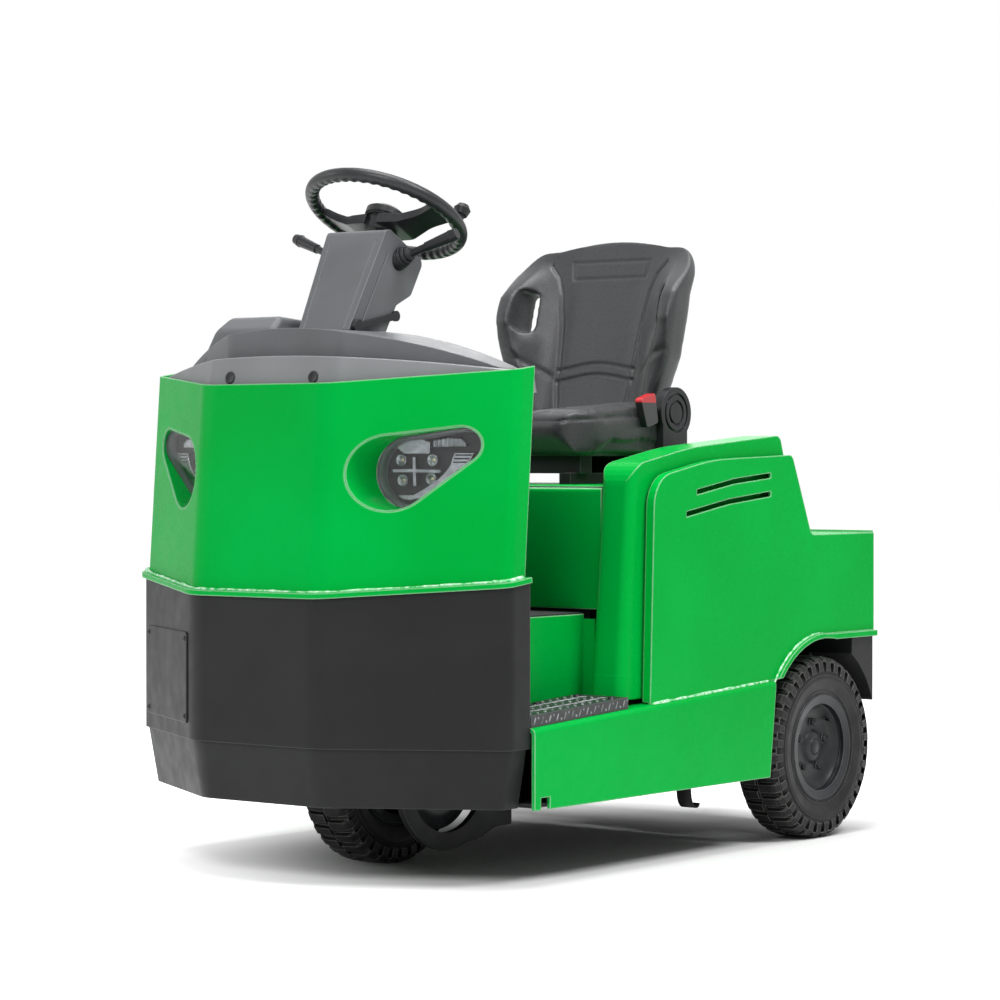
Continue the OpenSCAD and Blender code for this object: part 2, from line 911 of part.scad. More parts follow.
// Tyre profile rows: radius, x, corner radius
function tyre_rows(r, w, bead) = [
  [bead, -w * 0.36, 4],
  [bead + 18, -w * 0.43, 10],
  [bead + (r - bead) * 0.55, -w / 2, 18],
  [r - 20, -w * 0.46, 10],
  [r - 2, -w * 0.36, 8],
  [r, 0, 60],
  [r - 2, w * 0.36, 8],
  [r - 20, w * 0.46, 10],
  [bead + (r - bead) * 0.55, w / 2, 18],
  [bead + 18, w * 0.43, 10],
  [bead, w * 0.36, 4]
];

// Ring of lugs as a flat star: each lug fills its share of the pitch
module lug_ring(turned) {
  pitch = 360 / lug_count;
  low = tyre_r - lug_h - 3;
  rotate(turned) polygon([for (i = [0:lug_count - 1])
    each [
      low * [cos(i * pitch), sin(i * pitch)],
      (tyre_r + 1) * [cos((i + 0.1) * pitch), sin((i + 0.1) * pitch)],
      (tyre_r + 1) * [cos((i + lug_fill) * pitch), sin((i + lug_fill) * pitch)],
      low * [cos((i + lug_fill + 0.1) * pitch), sin((i + lug_fill + 0.1) * pitch)]
    ]]);
}

// Tyre about the x axis, centred on the origin
module tyre() {
  pitch = 360 / lug_count;
  shoulder = tyre_w * 0.47;
  rotate([90, 0, 90]) union() {
    rotate_extrude() polygon(rounded(tyre_rows(tyre_r - lug_h, tyre_w, bead_d / 2 + 0.2), 3));
    for (side = [0, 1]) mirror([0, 0, side]) intersection() {
      difference() {
        linear_extrude(shoulder) lug_ring(side * pitch / 2);
        translate([0, 0, -1]) cylinder(r = tyre_r - lug_h - 4.5, h = shoulder + 2);
      }
      translate([0, 0, -1]) rotate_extrude() polygon([
        [tyre_r - 40, 4],
        [tyre_r, 4],
        [tyre_r - 1, shoulder * 0.72],
        [tyre_r - 12, shoulder + 0.6],
        [tyre_r - 40, shoulder + 0.6]
      ]);
    }
  }
}

// Rim about the x axis, open side at +x
module rim(bore) {
  lip = tyre_w * 0.42;
  seat = bead_d / 2;
  difference() {
    rotate([90, 0, 90]) rotate_extrude() polygon([
      [bore, -38],
      [64, -38],
      [64, -30],
      [seat - 18, -24],
      [seat - 18, -10],
      [seat - 6, -tyre_w * 0.34],
      [seat - 6, -lip],
      [flange_d / 2 - 4, -lip - 4],
      [flange_d / 2, -lip - 1],
      [seat + 4, -lip + 2],
      [seat, -tyre_w * 0.375],
      [seat - 12, -10],
      [seat - 12, 10],
      [seat, tyre_w * 0.375],
      [seat + 4, lip - 2],
      [flange_d / 2, lip + 1],
      [flange_d / 2 - 4, lip + 4],
      [seat - 6, lip],
      [seat - 6, tyre_w * 0.34],
      [seat - 18, 10],
      [seat - 18, -16],
      [60, -22],
      [bore, -22]
    ]);
  }
  for (i = [0:wheel_bolts - 1]) rotate([i * 360 / wheel_bolts, 0, 0])
    translate([-23, 0, 52]) rotate([0, 90, 0]) cylinder(r = 9, h = 13, $fn = 6);
}

module left_tyre() {
  color(rubber) translate([wheel_x, rear_axle_y, tyre_r]) tyre();
}

module right_tyre() {
  color(rubber) mirror([1, 0, 0]) translate([wheel_x, rear_axle_y, tyre_r]) tyre();
}

module front_tyre() {
  color(rubber) translate([0, front_axle_y, tyre_r]) tyre();
}

module left_rim() {
  color(black) translate([wheel_x, rear_axle_y, tyre_r]) rim(22 + run_gap);
}

module right_rim() {
  color(black) mirror([1, 0, 0]) translate([wheel_x, rear_axle_y, tyre_r]) rim(22 + run_gap);
}

module front_rim() {
  color(black) translate([0, front_axle_y, tyre_r]) {
    rim(15 + run_gap);
    difference() {
      along_x(-62, -20) circle(32);
      along_x(-70, 0) circle(15 + run_gap);
    }
  }
}

// Foot and brow of a ridge, and the rounding of its front edges
ridge_foot = 372;
ridge_brow = 826;
ridge_round = 22;

// Ridge rows: y, z, corner radius, up the leaning front, along the crown and down behind
hood_rows = [
  [box_y - 44, ridge_foot, 0],
  [box_y - 4, ridge_brow, 58],
  [run(860), 864, 1100],
  [hood_back - 50, 891, 20],
  [hood_back + 16, hinge_z, 0],
  [box_y + 66, hinge_z, 10],
  [box_y + 44, ridge_foot, 0]
];

// Leaning prism with the ridge's rounded front edges, set in by d
module ridge_prism(d) {
  low = xy(hood_rows[0]);
  high = xy(hood_rows[1]);
  lean = atan2(high.x - low.x, high.y - low.y);
  translate([0, low.x, low.y]) rotate([-lean, 0, 0]) translate([0, 0, -200]) linear_extrude(900)
    polygon(rounded([
      [ridge_in + d, fit_gap + d, ridge_round - d],
      [ridge_out - d, fit_gap + d, ridge_round - d],
      [ridge_out - d, far, 0],
      [ridge_in + d, far, 0]
    ]));
}

module ridge_hollow() {
  intersection() {
    along_x(ridge_in, ridge_out) polygon(rounded(moved_loop(hood_rows, -hood_t, -hood_t)));
    ridge_prism(hood_t);
  }
}

module ridge() {
  difference() {
    intersection() {
      along_x(ridge_in - 1, ridge_out + 1) polygon(rounded(hood_rows));
      ridge_prism(0);
    }
    ridge_hollow();
    translate([0, 0, -2 * hood_t]) ridge_hollow();
  }
}

module hood() {
  centre = [
    [box_y, platform_z + 9, 0],
    [box_y, box_z, 16],
    [hood_back - hood_slope, box_z, 12],
    [hood_back, hinge_z, 0]
  ];
  color(green) union() {
    both_sides() ridge();
    difference() {
      along_x(-ridge_in - 1, ridge_in + 1) polygon(rounded(centre));
      along_x(-ridge_in - 2, ridge_in + 2) polygon([
        [box_y + hood_t, 0],
        [box_y + hood_t, box_z - hood_t],
        [hood_back - hood_slope - hood_t, box_z - hood_t],
        [hood_back - 1.5 * hood_t, hinge_z],
        [hood_back - 1.5 * hood_t, 0]
      ]);
    }
    both_sides() along_x(hinge_x - 21.5, hinge_x + 21.5) difference() {
      union() {
        translate([hinge_y, hinge_z]) circle(12);
        polygon([[hood_back - 8, hinge_z + 14], [hood_back - 4, hinge_z + 1], [hinge_y, hinge_z - 4], [hinge_y, hinge_z + 12]]);
      }
      translate([hinge_y, hinge_z]) circle(hinge_r + run_gap);
    }
  }
}

// Underside and rear face of the cushion
cushion_low = box_z + 63;
cushion_end = run(1097);

module seat_rails() {
  color(black) union() {
    both_sides() block(seat_half - 80, seat_half - 50, run(790), run(1120), box_z, box_z + 24);
    for (y = [run(810), run(1040)]) block(-seat_half + 38, seat_half - 38, y, y + 40, box_z + 23, cushion_low);
  }
}

module seat_cushion() {
  dish_r = 420;
  color(grey) difference() {
    intersection() {
      along_x(-seat_half, seat_half) polygon(rounded([
        [run(770), cushion_low, 20],
        [run(740), cushion_z - 46, 34],
        [run(752), cushion_z - 4, 30],
        [run(1000), cushion_z + 18, 120],
        [cushion_end, cushion_z + 4, 20],
        [cushion_end, cushion_low, 8]
      ]));
      translate([0, 0, cushion_low - 10]) linear_extrude(200) polygon(rounded([
        [-seat_half + 6, run(738), 84],
        [seat_half - 6, run(738), 84],
        [seat_half, run(900), 200],
        [seat_half, run(1125), 30],
        [-seat_half, run(1125), 30],
        [-seat_half, run(900), 200]
      ]));
    }
    along_y(run(700), run(1200)) translate([0, cushion_z - 16 + dish_r]) circle(dish_r, $fn = 120);
  }
}

// Seat back in its own leaning frame: x across, y behind the padded face, z up from the foot
back_foot = 925;
seat_back_y = run(1128);
back_top = (back_z - back_foot) / cos(back_lean);
slot_low = 194;

function back_rows() = [
  [-seat_half + 72, 0, 40],
  [seat_half - 72, 0, 40],
  [seat_half - 12, 140, 80],
  [seat_half, 225, 70],
  [seat_half - 6, back_top, 118],
  [-seat_half + 6, back_top, 118],
  [-seat_half, 225, 70],
  [-seat_half + 12, 140, 80]
];

// Section across: wings forward of the padded face, and the shell behind
function back_plan() = [
  [-seat_half, -14, 40],
  [-seat_half, -wing_y, 16],
  [-seat_half + 30, -wing_y, 14],
  [-seat_half + 120, 0, 110],
  [seat_half - 120, 0, 110],
  [seat_half - 30, -wing_y, 14],
  [seat_half, -wing_y, 16],
  [seat_half, -14, 40],
  [seat_half - 98, 50, 120],
  [-seat_half + 98, 50, 120]
];

// Side view: front edge of the wings, furthest forward at elbow height
function back_side() = [
  [-36, -2, 0],
  [-58, 110, 70],
  [-wing_y - 2, 226, 70],
  [-64, back_top - 46, 90],
  [-20, back_top + 1, 30],
  [22, back_top + 1, 24],
  [52, -2, 0]
];

module seat_back() {
  slot = [
    [seat_half - 36 - slot_w, slot_low, slot_w / 2 - 1],
    [seat_half - 36, slot_low, slot_w / 2 - 1],
    [seat_half - 36, slot_low + slot_h, slot_w / 2 - 1],
    [seat_half - 36 - slot_w, slot_low + slot_h, slot_w / 2 - 1]
  ];
  color(grey) difference() {
    translate([0, seat_back_y, back_foot]) rotate([-back_lean, 0, 0]) difference() {
      intersection() {
        along_y(-200, 200) polygon(rounded(back_rows(), 10));
        translate([0, 0, -10]) linear_extrude(back_top + 20) polygon(rounded(backwards(back_plan()), 10));
        along_x(-300, 300) polygon(rounded(backwards(back_side()), 10));
      }
      both_sides() along_y(-200, 200) polygon(rounded(slot));
    }
    block(-far, far, box_y, cushion_end + fit_gap, 0, cushion_z + 24);
  }
}

// Hinge cover of the seat back: y and z of its centre, radius
bracket_at = [run(1087), cushion_z - 4];
bracket_r = 57;

module seat_brackets() {
  color(black) both_sides() difference() {
    along_x(seat_half + fit_gap, seat_half + 20) union() {
      translate(bracket_at) circle(bracket_r);
      translate([bracket_at.x - 50, cushion_low]) square([92, bracket_at.y - cushion_low]);
    }
    along_x(seat_half + 16, seat_half + 21) translate(bracket_at) for (r = [bracket_r - 12, bracket_r - 28])
      difference() {
        circle(r);
        circle(r - 7);
      }
  }
}

buckle_lean = 16;
buckle_gap = 84;

module belt_buckle() {
  color([0.8, 0.1, 0.1]) translate([seat_half + fit_gap, bracket_at.x - buckle_gap, cushion_z - 30]) rotate([buckle_lean, 0, 0])
    along_x(0, 18) polygon(rounded([[-26, 0, 6], [18, 0, 6], [24, 66, 8], [-30, 66, 8]]));
}

module jaw_plate(z) {
  translate([0, 0, z]) linear_extrude(jaw_t) difference() {
    union() {
      translate([-52, body_len + 11]) square([104, jaw_y - 63]);
      translate([0, jaw_end - 52]) circle(52);
    }
    translate([0, jaw_end - 48]) circle(pin_r + 0.5);
  }
}

module tow_coupling() {
  color(black) union() {
    block(-82, 82, body_len - 8, body_len + 12, jaw_z - 30, jaw_z + 2 * (jaw_t + jaw_gap) + jaw_t + 30);
    for (i = [0:2]) jaw_plate(jaw_z + i * (jaw_t + jaw_gap));
  }
}

module tow_pin() {
  top = jaw_z + 2 * (jaw_t + jaw_gap) + jaw_t;
  color(steel) translate([0, jaw_end - 48, 0]) {
    translate([0, 0, jaw_z - 14]) cylinder(r = pin_r, h = top - jaw_z + 15);
    translate([0, 0, top]) cylinder(r = pin_r + 8, h = 10);
    translate([0, 0, top + 9]) cylinder(r = 8, h = 34);
    translate([-45, 0, top + 43]) rotate([0, 90, 0]) cylinder(r = 8, h = 90);
  }
}

module ground_strap() {
  color(rubber) block(half - 70, half - 30, run(850), run(850) + 4, 100, sill_z + 4);
}

module steering_wheel() {
  color(black) helm() difference() {
    union() {
      rotate_extrude($fn = 72) translate([helm_r, 0]) circle(helm_tube, $fn = 24);
      translate([0, 0, -48]) cylinder(r = 34, h = 38);
      translate([0, 0, -16]) cylinder(r = 40, h = 5);
      translate([0, 0, -12]) cylinder(r = 43, h = 14);
      translate([0, 0, 1.5]) cylinder(r1 = 43, r2 = 34, h = 7);
      both_sides() intersection() {
        along_y(-50, 50) polygon(rounded([
          [16, -42, 0],
          [66, -42, 30],
          [helm_r - 16, -10, 14],
          [helm_r + 2, -6, 0],
          [helm_r + 2, 5, 0],
          [helm_r - 24, 4, 20],
          [70, -22, 30],
          [16, -20, 0]
        ]));
        translate([0, 0, -100]) linear_extrude(200) polygon(rounded([
          [0, -40, 0],
          [56, -38, 40],
          [112, -25, 60],
          [helm_r + 4, -34, 0],
          [helm_r + 4, 34, 0],
          [112, 25, 60],
          [56, 38, 40],
          [0, 40, 0]
        ]));
      }
    }
    translate([0, 0, -60]) cylinder(r = shaft_r + run_gap, h = 54);
  }
}

// Spinner knob: way round from the driver's left, and distance from the centre
knob_at = 24;
knob_r = helm_r - 6;

module steering_knob() {
  color(black) helm() rotate([0, 0, knob_at]) translate([knob_r, 0, 0]) union() {
    difference() {
      translate([0, 0, 6]) cylinder(r = 9, h = 26);
      translate([-knob_r, 0, 0]) rotate_extrude($fn = 72) translate([helm_r, 0]) circle(helm_tube + 0.2, $fn = 24);
    }
    translate([0, 0, 28]) cylinder(r1 = 14, r2 = 18, h = 14);
    translate([0, 0, 41.5]) cylinder(r1 = 18, r2 = 12, h = 10);
  }
}

module placed() {
  translate([0, -mid_y, 0]) children();
}

placed() chassis_frame();
placed() left_sill();
placed() right_sill();
placed() front_band();
placed() lower_bumper();
placed() front_flange();
placed() front_panel();
placed() access_hatch();
placed() headlamp_pockets();
placed() headlamp_cores();
placed() headlamp_lenses();
placed() bulkhead();
placed() dash_fascia();
placed() dash_cowl();
placed() instrument_pod();
placed() steering_column();
placed() column_stalks();
placed() tilt_lever();
placed() platform();
placed() floor_mat();
placed() steps();
placed() pedals();
placed() left_side_cover();
placed() right_side_cover();
placed() rear_body();
placed() rear_bumper();
placed() tail_lamps();
placed() battery_block();
placed() rear_axle();
placed() steer_bearing();
placed() tow_coupling();
placed() ground_strap();
placed() hood();
placed() seat_rails();
placed() seat_cushion();
placed() seat_back();
placed() seat_brackets();
placed() belt_buckle();
placed() tow_pin();
placed() steering_wheel();
placed() steering_knob();
placed() steer_fork();
placed() front_axle();
placed() front_tyre();
placed() front_rim();
placed() left_tyre();
placed() left_rim();
placed() right_tyre();
placed() right_rim();
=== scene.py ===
import json
import math

import bmesh
import bpy
import numpy as np
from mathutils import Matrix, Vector
from mathutils.bvhtree import BVHTree


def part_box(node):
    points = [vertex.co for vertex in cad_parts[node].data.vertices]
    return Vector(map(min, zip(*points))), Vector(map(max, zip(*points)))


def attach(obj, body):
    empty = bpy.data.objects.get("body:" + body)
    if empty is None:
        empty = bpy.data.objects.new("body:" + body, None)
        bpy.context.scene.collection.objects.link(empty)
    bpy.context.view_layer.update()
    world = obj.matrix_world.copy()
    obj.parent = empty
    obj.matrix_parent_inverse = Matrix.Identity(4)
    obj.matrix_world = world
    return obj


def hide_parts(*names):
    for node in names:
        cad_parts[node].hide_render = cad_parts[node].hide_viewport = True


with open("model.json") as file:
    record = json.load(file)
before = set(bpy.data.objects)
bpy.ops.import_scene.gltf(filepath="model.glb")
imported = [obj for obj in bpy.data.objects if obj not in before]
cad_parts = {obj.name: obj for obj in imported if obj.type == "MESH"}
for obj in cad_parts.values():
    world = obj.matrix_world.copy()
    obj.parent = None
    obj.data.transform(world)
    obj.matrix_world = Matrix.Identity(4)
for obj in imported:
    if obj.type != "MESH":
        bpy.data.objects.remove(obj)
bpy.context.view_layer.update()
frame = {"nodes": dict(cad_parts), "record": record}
scene = bpy.context.scene
nodes = frame["nodes"]
dice = np.random.default_rng(7)
print("frame loaded:", len(nodes), "solids")

# the drawing's zero is the front face; the frame's zero is the middle of the part's box
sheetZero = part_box("rear_body")[1].y - 1.560
degree = math.pi / 180


def sheet(rows):  # millimetres from the centre line, front face and ground, to metres in the frame
    return np.asarray(rows, float) / 1000 + np.array([0, sheetZero, 0])


def drawn(rows):  # metres in the frame, back to millimetres on the sheet
    return (np.asarray(rows, float) - np.array([0, sheetZero, 0])) * 1000


def cosSin(angle):  # of an angle in degrees
    return math.cos(angle * degree), math.sin(angle * degree)


def leaned(rows, at, angle):  # rows in a frame that stands at a point and is turned about x by an angle
    rows = np.asarray(rows, float)
    c, s = cosSin(angle)
    y, z = rows[..., 1], rows[..., 2]
    return np.stack([rows[..., 0] + at[0], y * c - z * s + at[1], y * s + z * c + at[2]], -1)


def mirrored(rows):  # the same place on the other side of the centre line
    return np.asarray(rows, float) * np.array([-1, 1, 1])


def paintHex(text, alpha=1.0):  # sRGB hex to the linear values that sockets take
    raw = np.array([int(text[i:i + 2], 16) / 255 for i in (1, 3, 5)])
    lin = np.where(raw <= 0.04045, raw / 12.92, ((raw + 0.055) / 1.055) ** 2.4)
    return (*lin.tolist(), alpha)


def addNode(tree, kind, inputs, **settings):  # an input is another node's output, or a value
    node = tree.nodes.new("ShaderNode" + kind)
    for key, value in settings.items():
        setattr(node, key, value)
    for key, value in inputs.items():
        if isinstance(value, bpy.types.NodeSocket):
            tree.links.new(value, node.inputs[key])
        else:
            node.inputs[key].default_value = value
    return node


def emptyMaterial(name):
    material = bpy.data.materials.new(name)
    material.use_nodes = True
    material.node_tree.nodes.clear()
    return material, material.node_tree


def newFinish(name, sockets):  # a material with its shader, and Object coordinates in metres
    material, tree = emptyMaterial(name)
    shader = addNode(tree, "BsdfPrincipled", sockets)
    addNode(tree, "OutputMaterial", {"Surface": shader.outputs[0]})
    coords = addNode(tree, "TexCoord", {}).outputs["Object"]
    return material, tree, shader, coords


def placed(name, data):  # an object in the scene
    item = bpy.data.objects.new(name, data)
    scene.collection.objects.link(item)
    return item


def turns(count):  # that many angles, once round
    return np.linspace(0, 2 * math.pi, count, endpoint=False)


def circle(count):  # that many points on a circle of radius 1
    return np.stack([np.cos(turns(count)), np.sin(turns(count))], -1)


def perMm(size):  # texture scale for a pattern of that size in millimetres
    return 1000 / size


def noise(tree, coords, sizeMm, detail, output=0):  # soft noise whose lumps are about that size
    return addNode(tree, "TexNoise", {"Vector": coords, "Scale": perMm(sizeMm), "Detail": detail}).outputs[output]


def rescaled(tree, value, low, high, toLow=0.0, toHigh=1.0, **settings):  # a value carried from one range to another
    ends = {"From Min": low, "From Max": high, "To Min": toLow, "To Max": toHigh}
    return addNode(tree, "MapRange", {"Value": value, **ends}, **settings).outputs[0]


def mixed(tree, share, first, second):  # two colours by a share
    return addNode(tree, "MixRGB", {"Fac": share, "Color1": first, "Color2": second}).outputs[0]


def bumped(tree, height, strength, deepMm, **inputs):  # a normal tilted by the slope of a height
    return addNode(tree, "Bump", {"Height": height, "Strength": strength, "Distance": deepMm / 1000, **inputs}).outputs[0]


def wire(tree, shader, outputs):
    for key, output in outputs.items():
        tree.links.new(output, shader.inputs[key])


# A rigid finish: two tones in broad clouds, a paler rounded edge that is a painted highlight, a fine surface grain and
# uneven gloss.
# The eye gets a sheet or moulding whose edges seem to catch light, through that painted highlight, and whose gloss
# isn't even.
# A look's edge is its painted highlight's tone, its share and its width in millimetres.
coat = {"cloud": (0.35, 0.65), "edge": (0.985, 0.8), "samples": 6, "bumpMm": 0.6, "smearMm": 45, "smear": (0.3, 0.7),
        "uneven": (0.05, 0.06)}
socketNames = {"spec": "Specular IOR Level", "ior": "IOR", "metal": "Metallic", "clear": "Transmission Weight"}


def coatedFinish(name, **look):
    sockets = {socketNames[key]: value for key, value in look.items() if key in socketNames}
    material, tree, shader, coords = newFinish(name, sockets)
    cloud = rescaled(tree, noise(tree, coords, look["cloudMm"], 3.0), *coat["cloud"])
    tone = mixed(tree, cloud, paintHex(look["low"]), paintHex(look["high"]))
    highlightTone, highlightShare, edgeMm = look["edge"]
    bevel = addNode(tree, "Bevel", {"Radius": edgeMm / 1000}, samples=coat["samples"]).outputs[0]
    facing = addNode(tree, "NewGeometry", {}).outputs["Normal"]
    same = addNode(tree, "VectorMath", {0: bevel, 1: facing}, operation="DOT_PRODUCT").outputs["Value"]
    edge = rescaled(tree, same, *coat["edge"], toHigh=highlightShare)
    # painted highlight: a paler tone mixed in along rounded edges, found by the Bevel node, stands for light caught on
    # the edges
    paintedHighlight = mixed(tree, edge, tone, paintHex(highlightTone))
    grain = noise(tree, coords, look["grainMm"], 2.0)
    relief = bumped(tree, grain, look["relief"], coat["bumpMm"], Normal=bevel)
    smear = noise(tree, coords, coat["smearMm"], 4.0)
    smooth, rough = coat["uneven"]
    gloss = rescaled(tree, smear, *coat["smear"], look["rough"] - smooth, look["rough"] + rough)
    wire(tree, shader, {"Base Color": paintedHighlight, "Normal": relief, "Roughness": gloss})
    return material


# powder-coated steel: even semi-gloss with orange peel, drawn at 7 mm so that it shows
greenLook = {"low": "#00A63B", "high": "#00B044", "edge": ("#CFF5DB", 0.7, 5), "cloudMm": 420,
             "grainMm": 7, "relief": 0.04, "rough": 0.26, "spec": 0.035, "ior": 1.5}
greenCoat = coatedFinish("powderCoatGreen", **greenLook)
# the same coat over weld beads, thin and glossy on the ripples, with pale spots of painted highlight as glints
weldCoat = coatedFinish("powderCoatGreenWeld",
    low="#1FBE58", high="#D8F6E1", edge=("#F0FCF3", 0.5, 1), cloudMm=11, grainMm=4, relief=0.3, rough=0.25,
    spec=0.4, ior=1.5)
# the same coat on a turned-down edge, with next to no painted edge highlight
foldCoat = coatedFinish("powderCoatGreenFold", **{**greenLook, "edge": ("#00B044", 0.1, 2)})
# satin textured powder coat: matt black with a fine pebble, drawn at 3 mm so that it shows
blackCoat = coatedFinish("powderCoatSatinBlack",
    low="#1F1F20", high="#262627", edge=("#6E7072", 0.55, 4), cloudMm=260, grainMm=3, relief=0.22,
    rough=0.45, spec=0.14, ior=1.5)
# sprayed enamel on pressed wheels: darker and smoother, in two tones in small clouds, with a painted highlight on its
# edges
rimCoat = coatedFinish("sprayedRimEnamel",
    low="#17181A", high="#26272A", edge=("#7E8085", 0.6, 3), cloudMm=60, grainMm=5, relief=0.08,
    rough=0.36, spec=0.25, ior=1.5)
# moulded ABS with a leather-like tool grain, drawn at 2.5 mm so that it shows
greyMoulding = coatedFinish("mouldedAbsGrey",
    low="#5A5C5E", high="#646669", edge=("#B4B7BA", 0.5, 3.5), cloudMm=180, grainMm=2.5, relief=0.2,
    rough=0.45, spec=0.3, ior=1.53)
# the same moulding painted paler on the fascia, as painted light where it faces up to the lamps
paintedLitMoulding = coatedFinish("mouldedAbsGreyPaintedLit",
    low="#747678", high="#808284", edge=("#E4E6E8", 0.6, 4), cloudMm=180, grainMm=2.5, relief=0.2,
    rough=0.42, spec=0.3, ior=1.53)
# moulded black polyamide: satin, with soft pale edges of painted highlight
blackMoulding = coatedFinish("mouldedPolyamideBlack",
    low="#1B1C1E", high="#242528", edge=("#55585C", 0.45, 2.5), cloudMm=80, grainMm=2.5, relief=0.15,
    rough=0.38, spec=0.25, ior=1.53)
# soft PVC skin of the steering wheel: slight sheen on a fine grain
rimGrip = coatedFinish("mouldedPvcGrip",
    low="#1B1C1E", high="#26272A", edge=("#4C4E52", 0.3, 2), cloudMm=60, grainMm=2.2, relief=0.2,
    rough=0.36, spec=0.35, ior=1.52)
# hot-rolled chequer plate under black paint, with a painted highlight on its edges; the ridges are rubbed bright by
# shoes
stepCoat = coatedFinish("chequerPlateBlack",
    low="#1B1C1E", high="#28292B", edge=("#8E9295", 0.6, 2.5), cloudMm=50, grainMm=3, relief=0.25,
    rough=0.45, ior=1.5)
# the tops of the raised marks, rubbed down to dull steel
rubbedSteel = coatedFinish("rubbedTreadSteel",
    low="#4E5154", high="#96999C", edge=("#C4C7C9", 0.4, 1), cloudMm=14, grainMm=3, relief=0.2, rough=0.4,
    ior=1.5)
# natural rubber sheet and flaps: dull, dusty, with no clear reflection
rubberSheet = coatedFinish("calenderedRubber",
    low="#1B1B1B", high="#262626", edge=("#3C3C3C", 0.5, 2), cloudMm=40, grainMm=3, relief=0.3, rough=0.7,
    spec=0.2, ior=1.5)
# carbon-black tyre rubber: matt, with a grey bloom in patches and a painted highlight on the lug edges
tyreRubber = coatedFinish("vulcanisedTyreRubber",
    low="#151515", high="#232323", edge=("#A8A8A5", 0.7, 2.5), cloudMm=40, grainMm=4, relief=0.4,
    rough=0.5, spec=0.2, ior=1.5)
# moulded polypropylene battery trough: waxy dark grey
batteryShell = coatedFinish("mouldedPolypropylene",
    low="#303234", high="#3A3C3E", edge=("#5C5E60", 0.4, 3), cloudMm=90, grainMm=4, relief=0.15,
    rough=0.55, ior=1.49)
# zinc-plated turned steel: bright grey with a faint blue cloud
zincSteel = coatedFinish("zincPlatedSteel",
    low="#9A9DA1", high="#B2B5B8", edge=("#D8DADC", 0.5, 1.5), cloudMm=30, grainMm=2, relief=0.1,
    rough=0.32, metal=1.0)
# vapour-metallised reflector: near mirror, broken by small ripples
mirrorCoat = coatedFinish("metallisedReflector",
    low="#85888B", high="#A3A6A9", edge=("#F4F5F6", 0.8, 1.6), cloudMm=18, grainMm=9, relief=0.2,
    rough=0.24, metal=1.0)
# moulded polycarbonate: clear for the headlamps, deep red for the tail lamps
clearCover = coatedFinish("mouldedPolycarbonateClear",
    low="#F2F5F6", high="#FBFCFC", edge=("#FFFFFF", 0.2, 1), cloudMm=90, grainMm=30, relief=0.02,
    rough=0.07, clear=1.0, ior=1.35)
redCover = coatedFinish("mouldedPolycarbonateRed",
    low="#7A0508", high="#94090D", edge=("#C4383A", 0.4, 1.5), cloudMm=30, grainMm=6, relief=0.2,
    rough=0.2, spec=0.3, ior=1.58)
# opal lamp chip in each cup: a warm pale dot
ledChip = coatedFinish("phosphorLampChip",
    low="#D8D2A8", high="#E8E4C4", edge=("#F4F2E0", 0.3, 0.5), cloudMm=5, grainMm=2, relief=0.1, rough=0.4,
    ior=1.5)


# expanded vinyl over foam: leather grain of cells 4 mm wide, drawn coarse so that it shows, with a faint sheen
def vinylFinish():
    look = {"low": "#303133", "high": "#3B3C3E", "crease": "#242527", "cloudMm": 120, "warpMm": 7, "shiftMm": 3, "cellMm": 4.2,
            "creaseShare": 0.16, "relief": 0.25, "deepMm": 0.5, "rough": 0.36, "uneven": 0.06}
    material, tree, shader, coords = newFinish("expandedVinylGrey", {
        "IOR": 1.5, "Specular IOR Level": 0.4, "Sheen Weight": 0.1, "Sheen Roughness": 0.5})
    cloud = noise(tree, coords, look["cloudMm"], 4.0)
    warp = noise(tree, coords, look["warpMm"], 2.0, 1)
    shift = addNode(tree, "VectorMath", {0: warp, 1: [look["shiftMm"] / 1000] * 3}, operation="MULTIPLY").outputs[0]
    bent = addNode(tree, "VectorMath", {0: coords, 1: shift}, operation="ADD").outputs[0]
    cells = {"Vector": bent, "Scale": perMm(look["cellMm"])}
    cell = addNode(tree, "TexVoronoi", cells, feature="DISTANCE_TO_EDGE").outputs[0]
    crease = rescaled(tree, cell, 0.0, look["creaseShare"])
    tone = mixed(tree, cloud, paintHex(look["low"]), paintHex(look["high"]))
    dark = mixed(tree, crease, paintHex(look["crease"]), tone)
    relief = bumped(tree, crease, look["relief"], look["deepMm"])
    gloss = rescaled(tree, cloud, *coat["smear"], look["rough"] - look["uneven"], look["rough"] + look["uneven"])
    wire(tree, shader, {"Base Color": dark, "Normal": relief, "Roughness": gloss})
    return material


# one buckle moulding in two colours: black shell, red press button above a height in the frame
def buckleFinish():
    look = {"shell": "#1C1D1F", "button": "#C81E25", "splitMm": 962, "blurMm": 1.2, "edgeMm": 3, "grainMm": 2, "relief": 0.1,
            "deepMm": 0.4}
    material, tree, shader, coords = newFinish("twoColourAbsBuckle", {"IOR": 1.53, "Roughness": 0.3, "Coat Weight": 0.2})
    height = addNode(tree, "SeparateXYZ", {"Vector": coords}).outputs[2]
    share = rescaled(tree, height, (look["splitMm"] - look["blurMm"]) / 1000, (look["splitMm"] + look["blurMm"]) / 1000)
    tone = mixed(tree, share, paintHex(look["shell"]), paintHex(look["button"]))
    bevel = addNode(tree, "Bevel", {"Radius": look["edgeMm"] / 1000}, samples=coat["samples"]).outputs[0]
    grain = noise(tree, coords, look["grainMm"], 2.0)
    relief = bumped(tree, grain, look["relief"], look["deepMm"], Normal=bevel)
    wire(tree, shader, {"Base Color": tone, "Normal": relief})
    return material


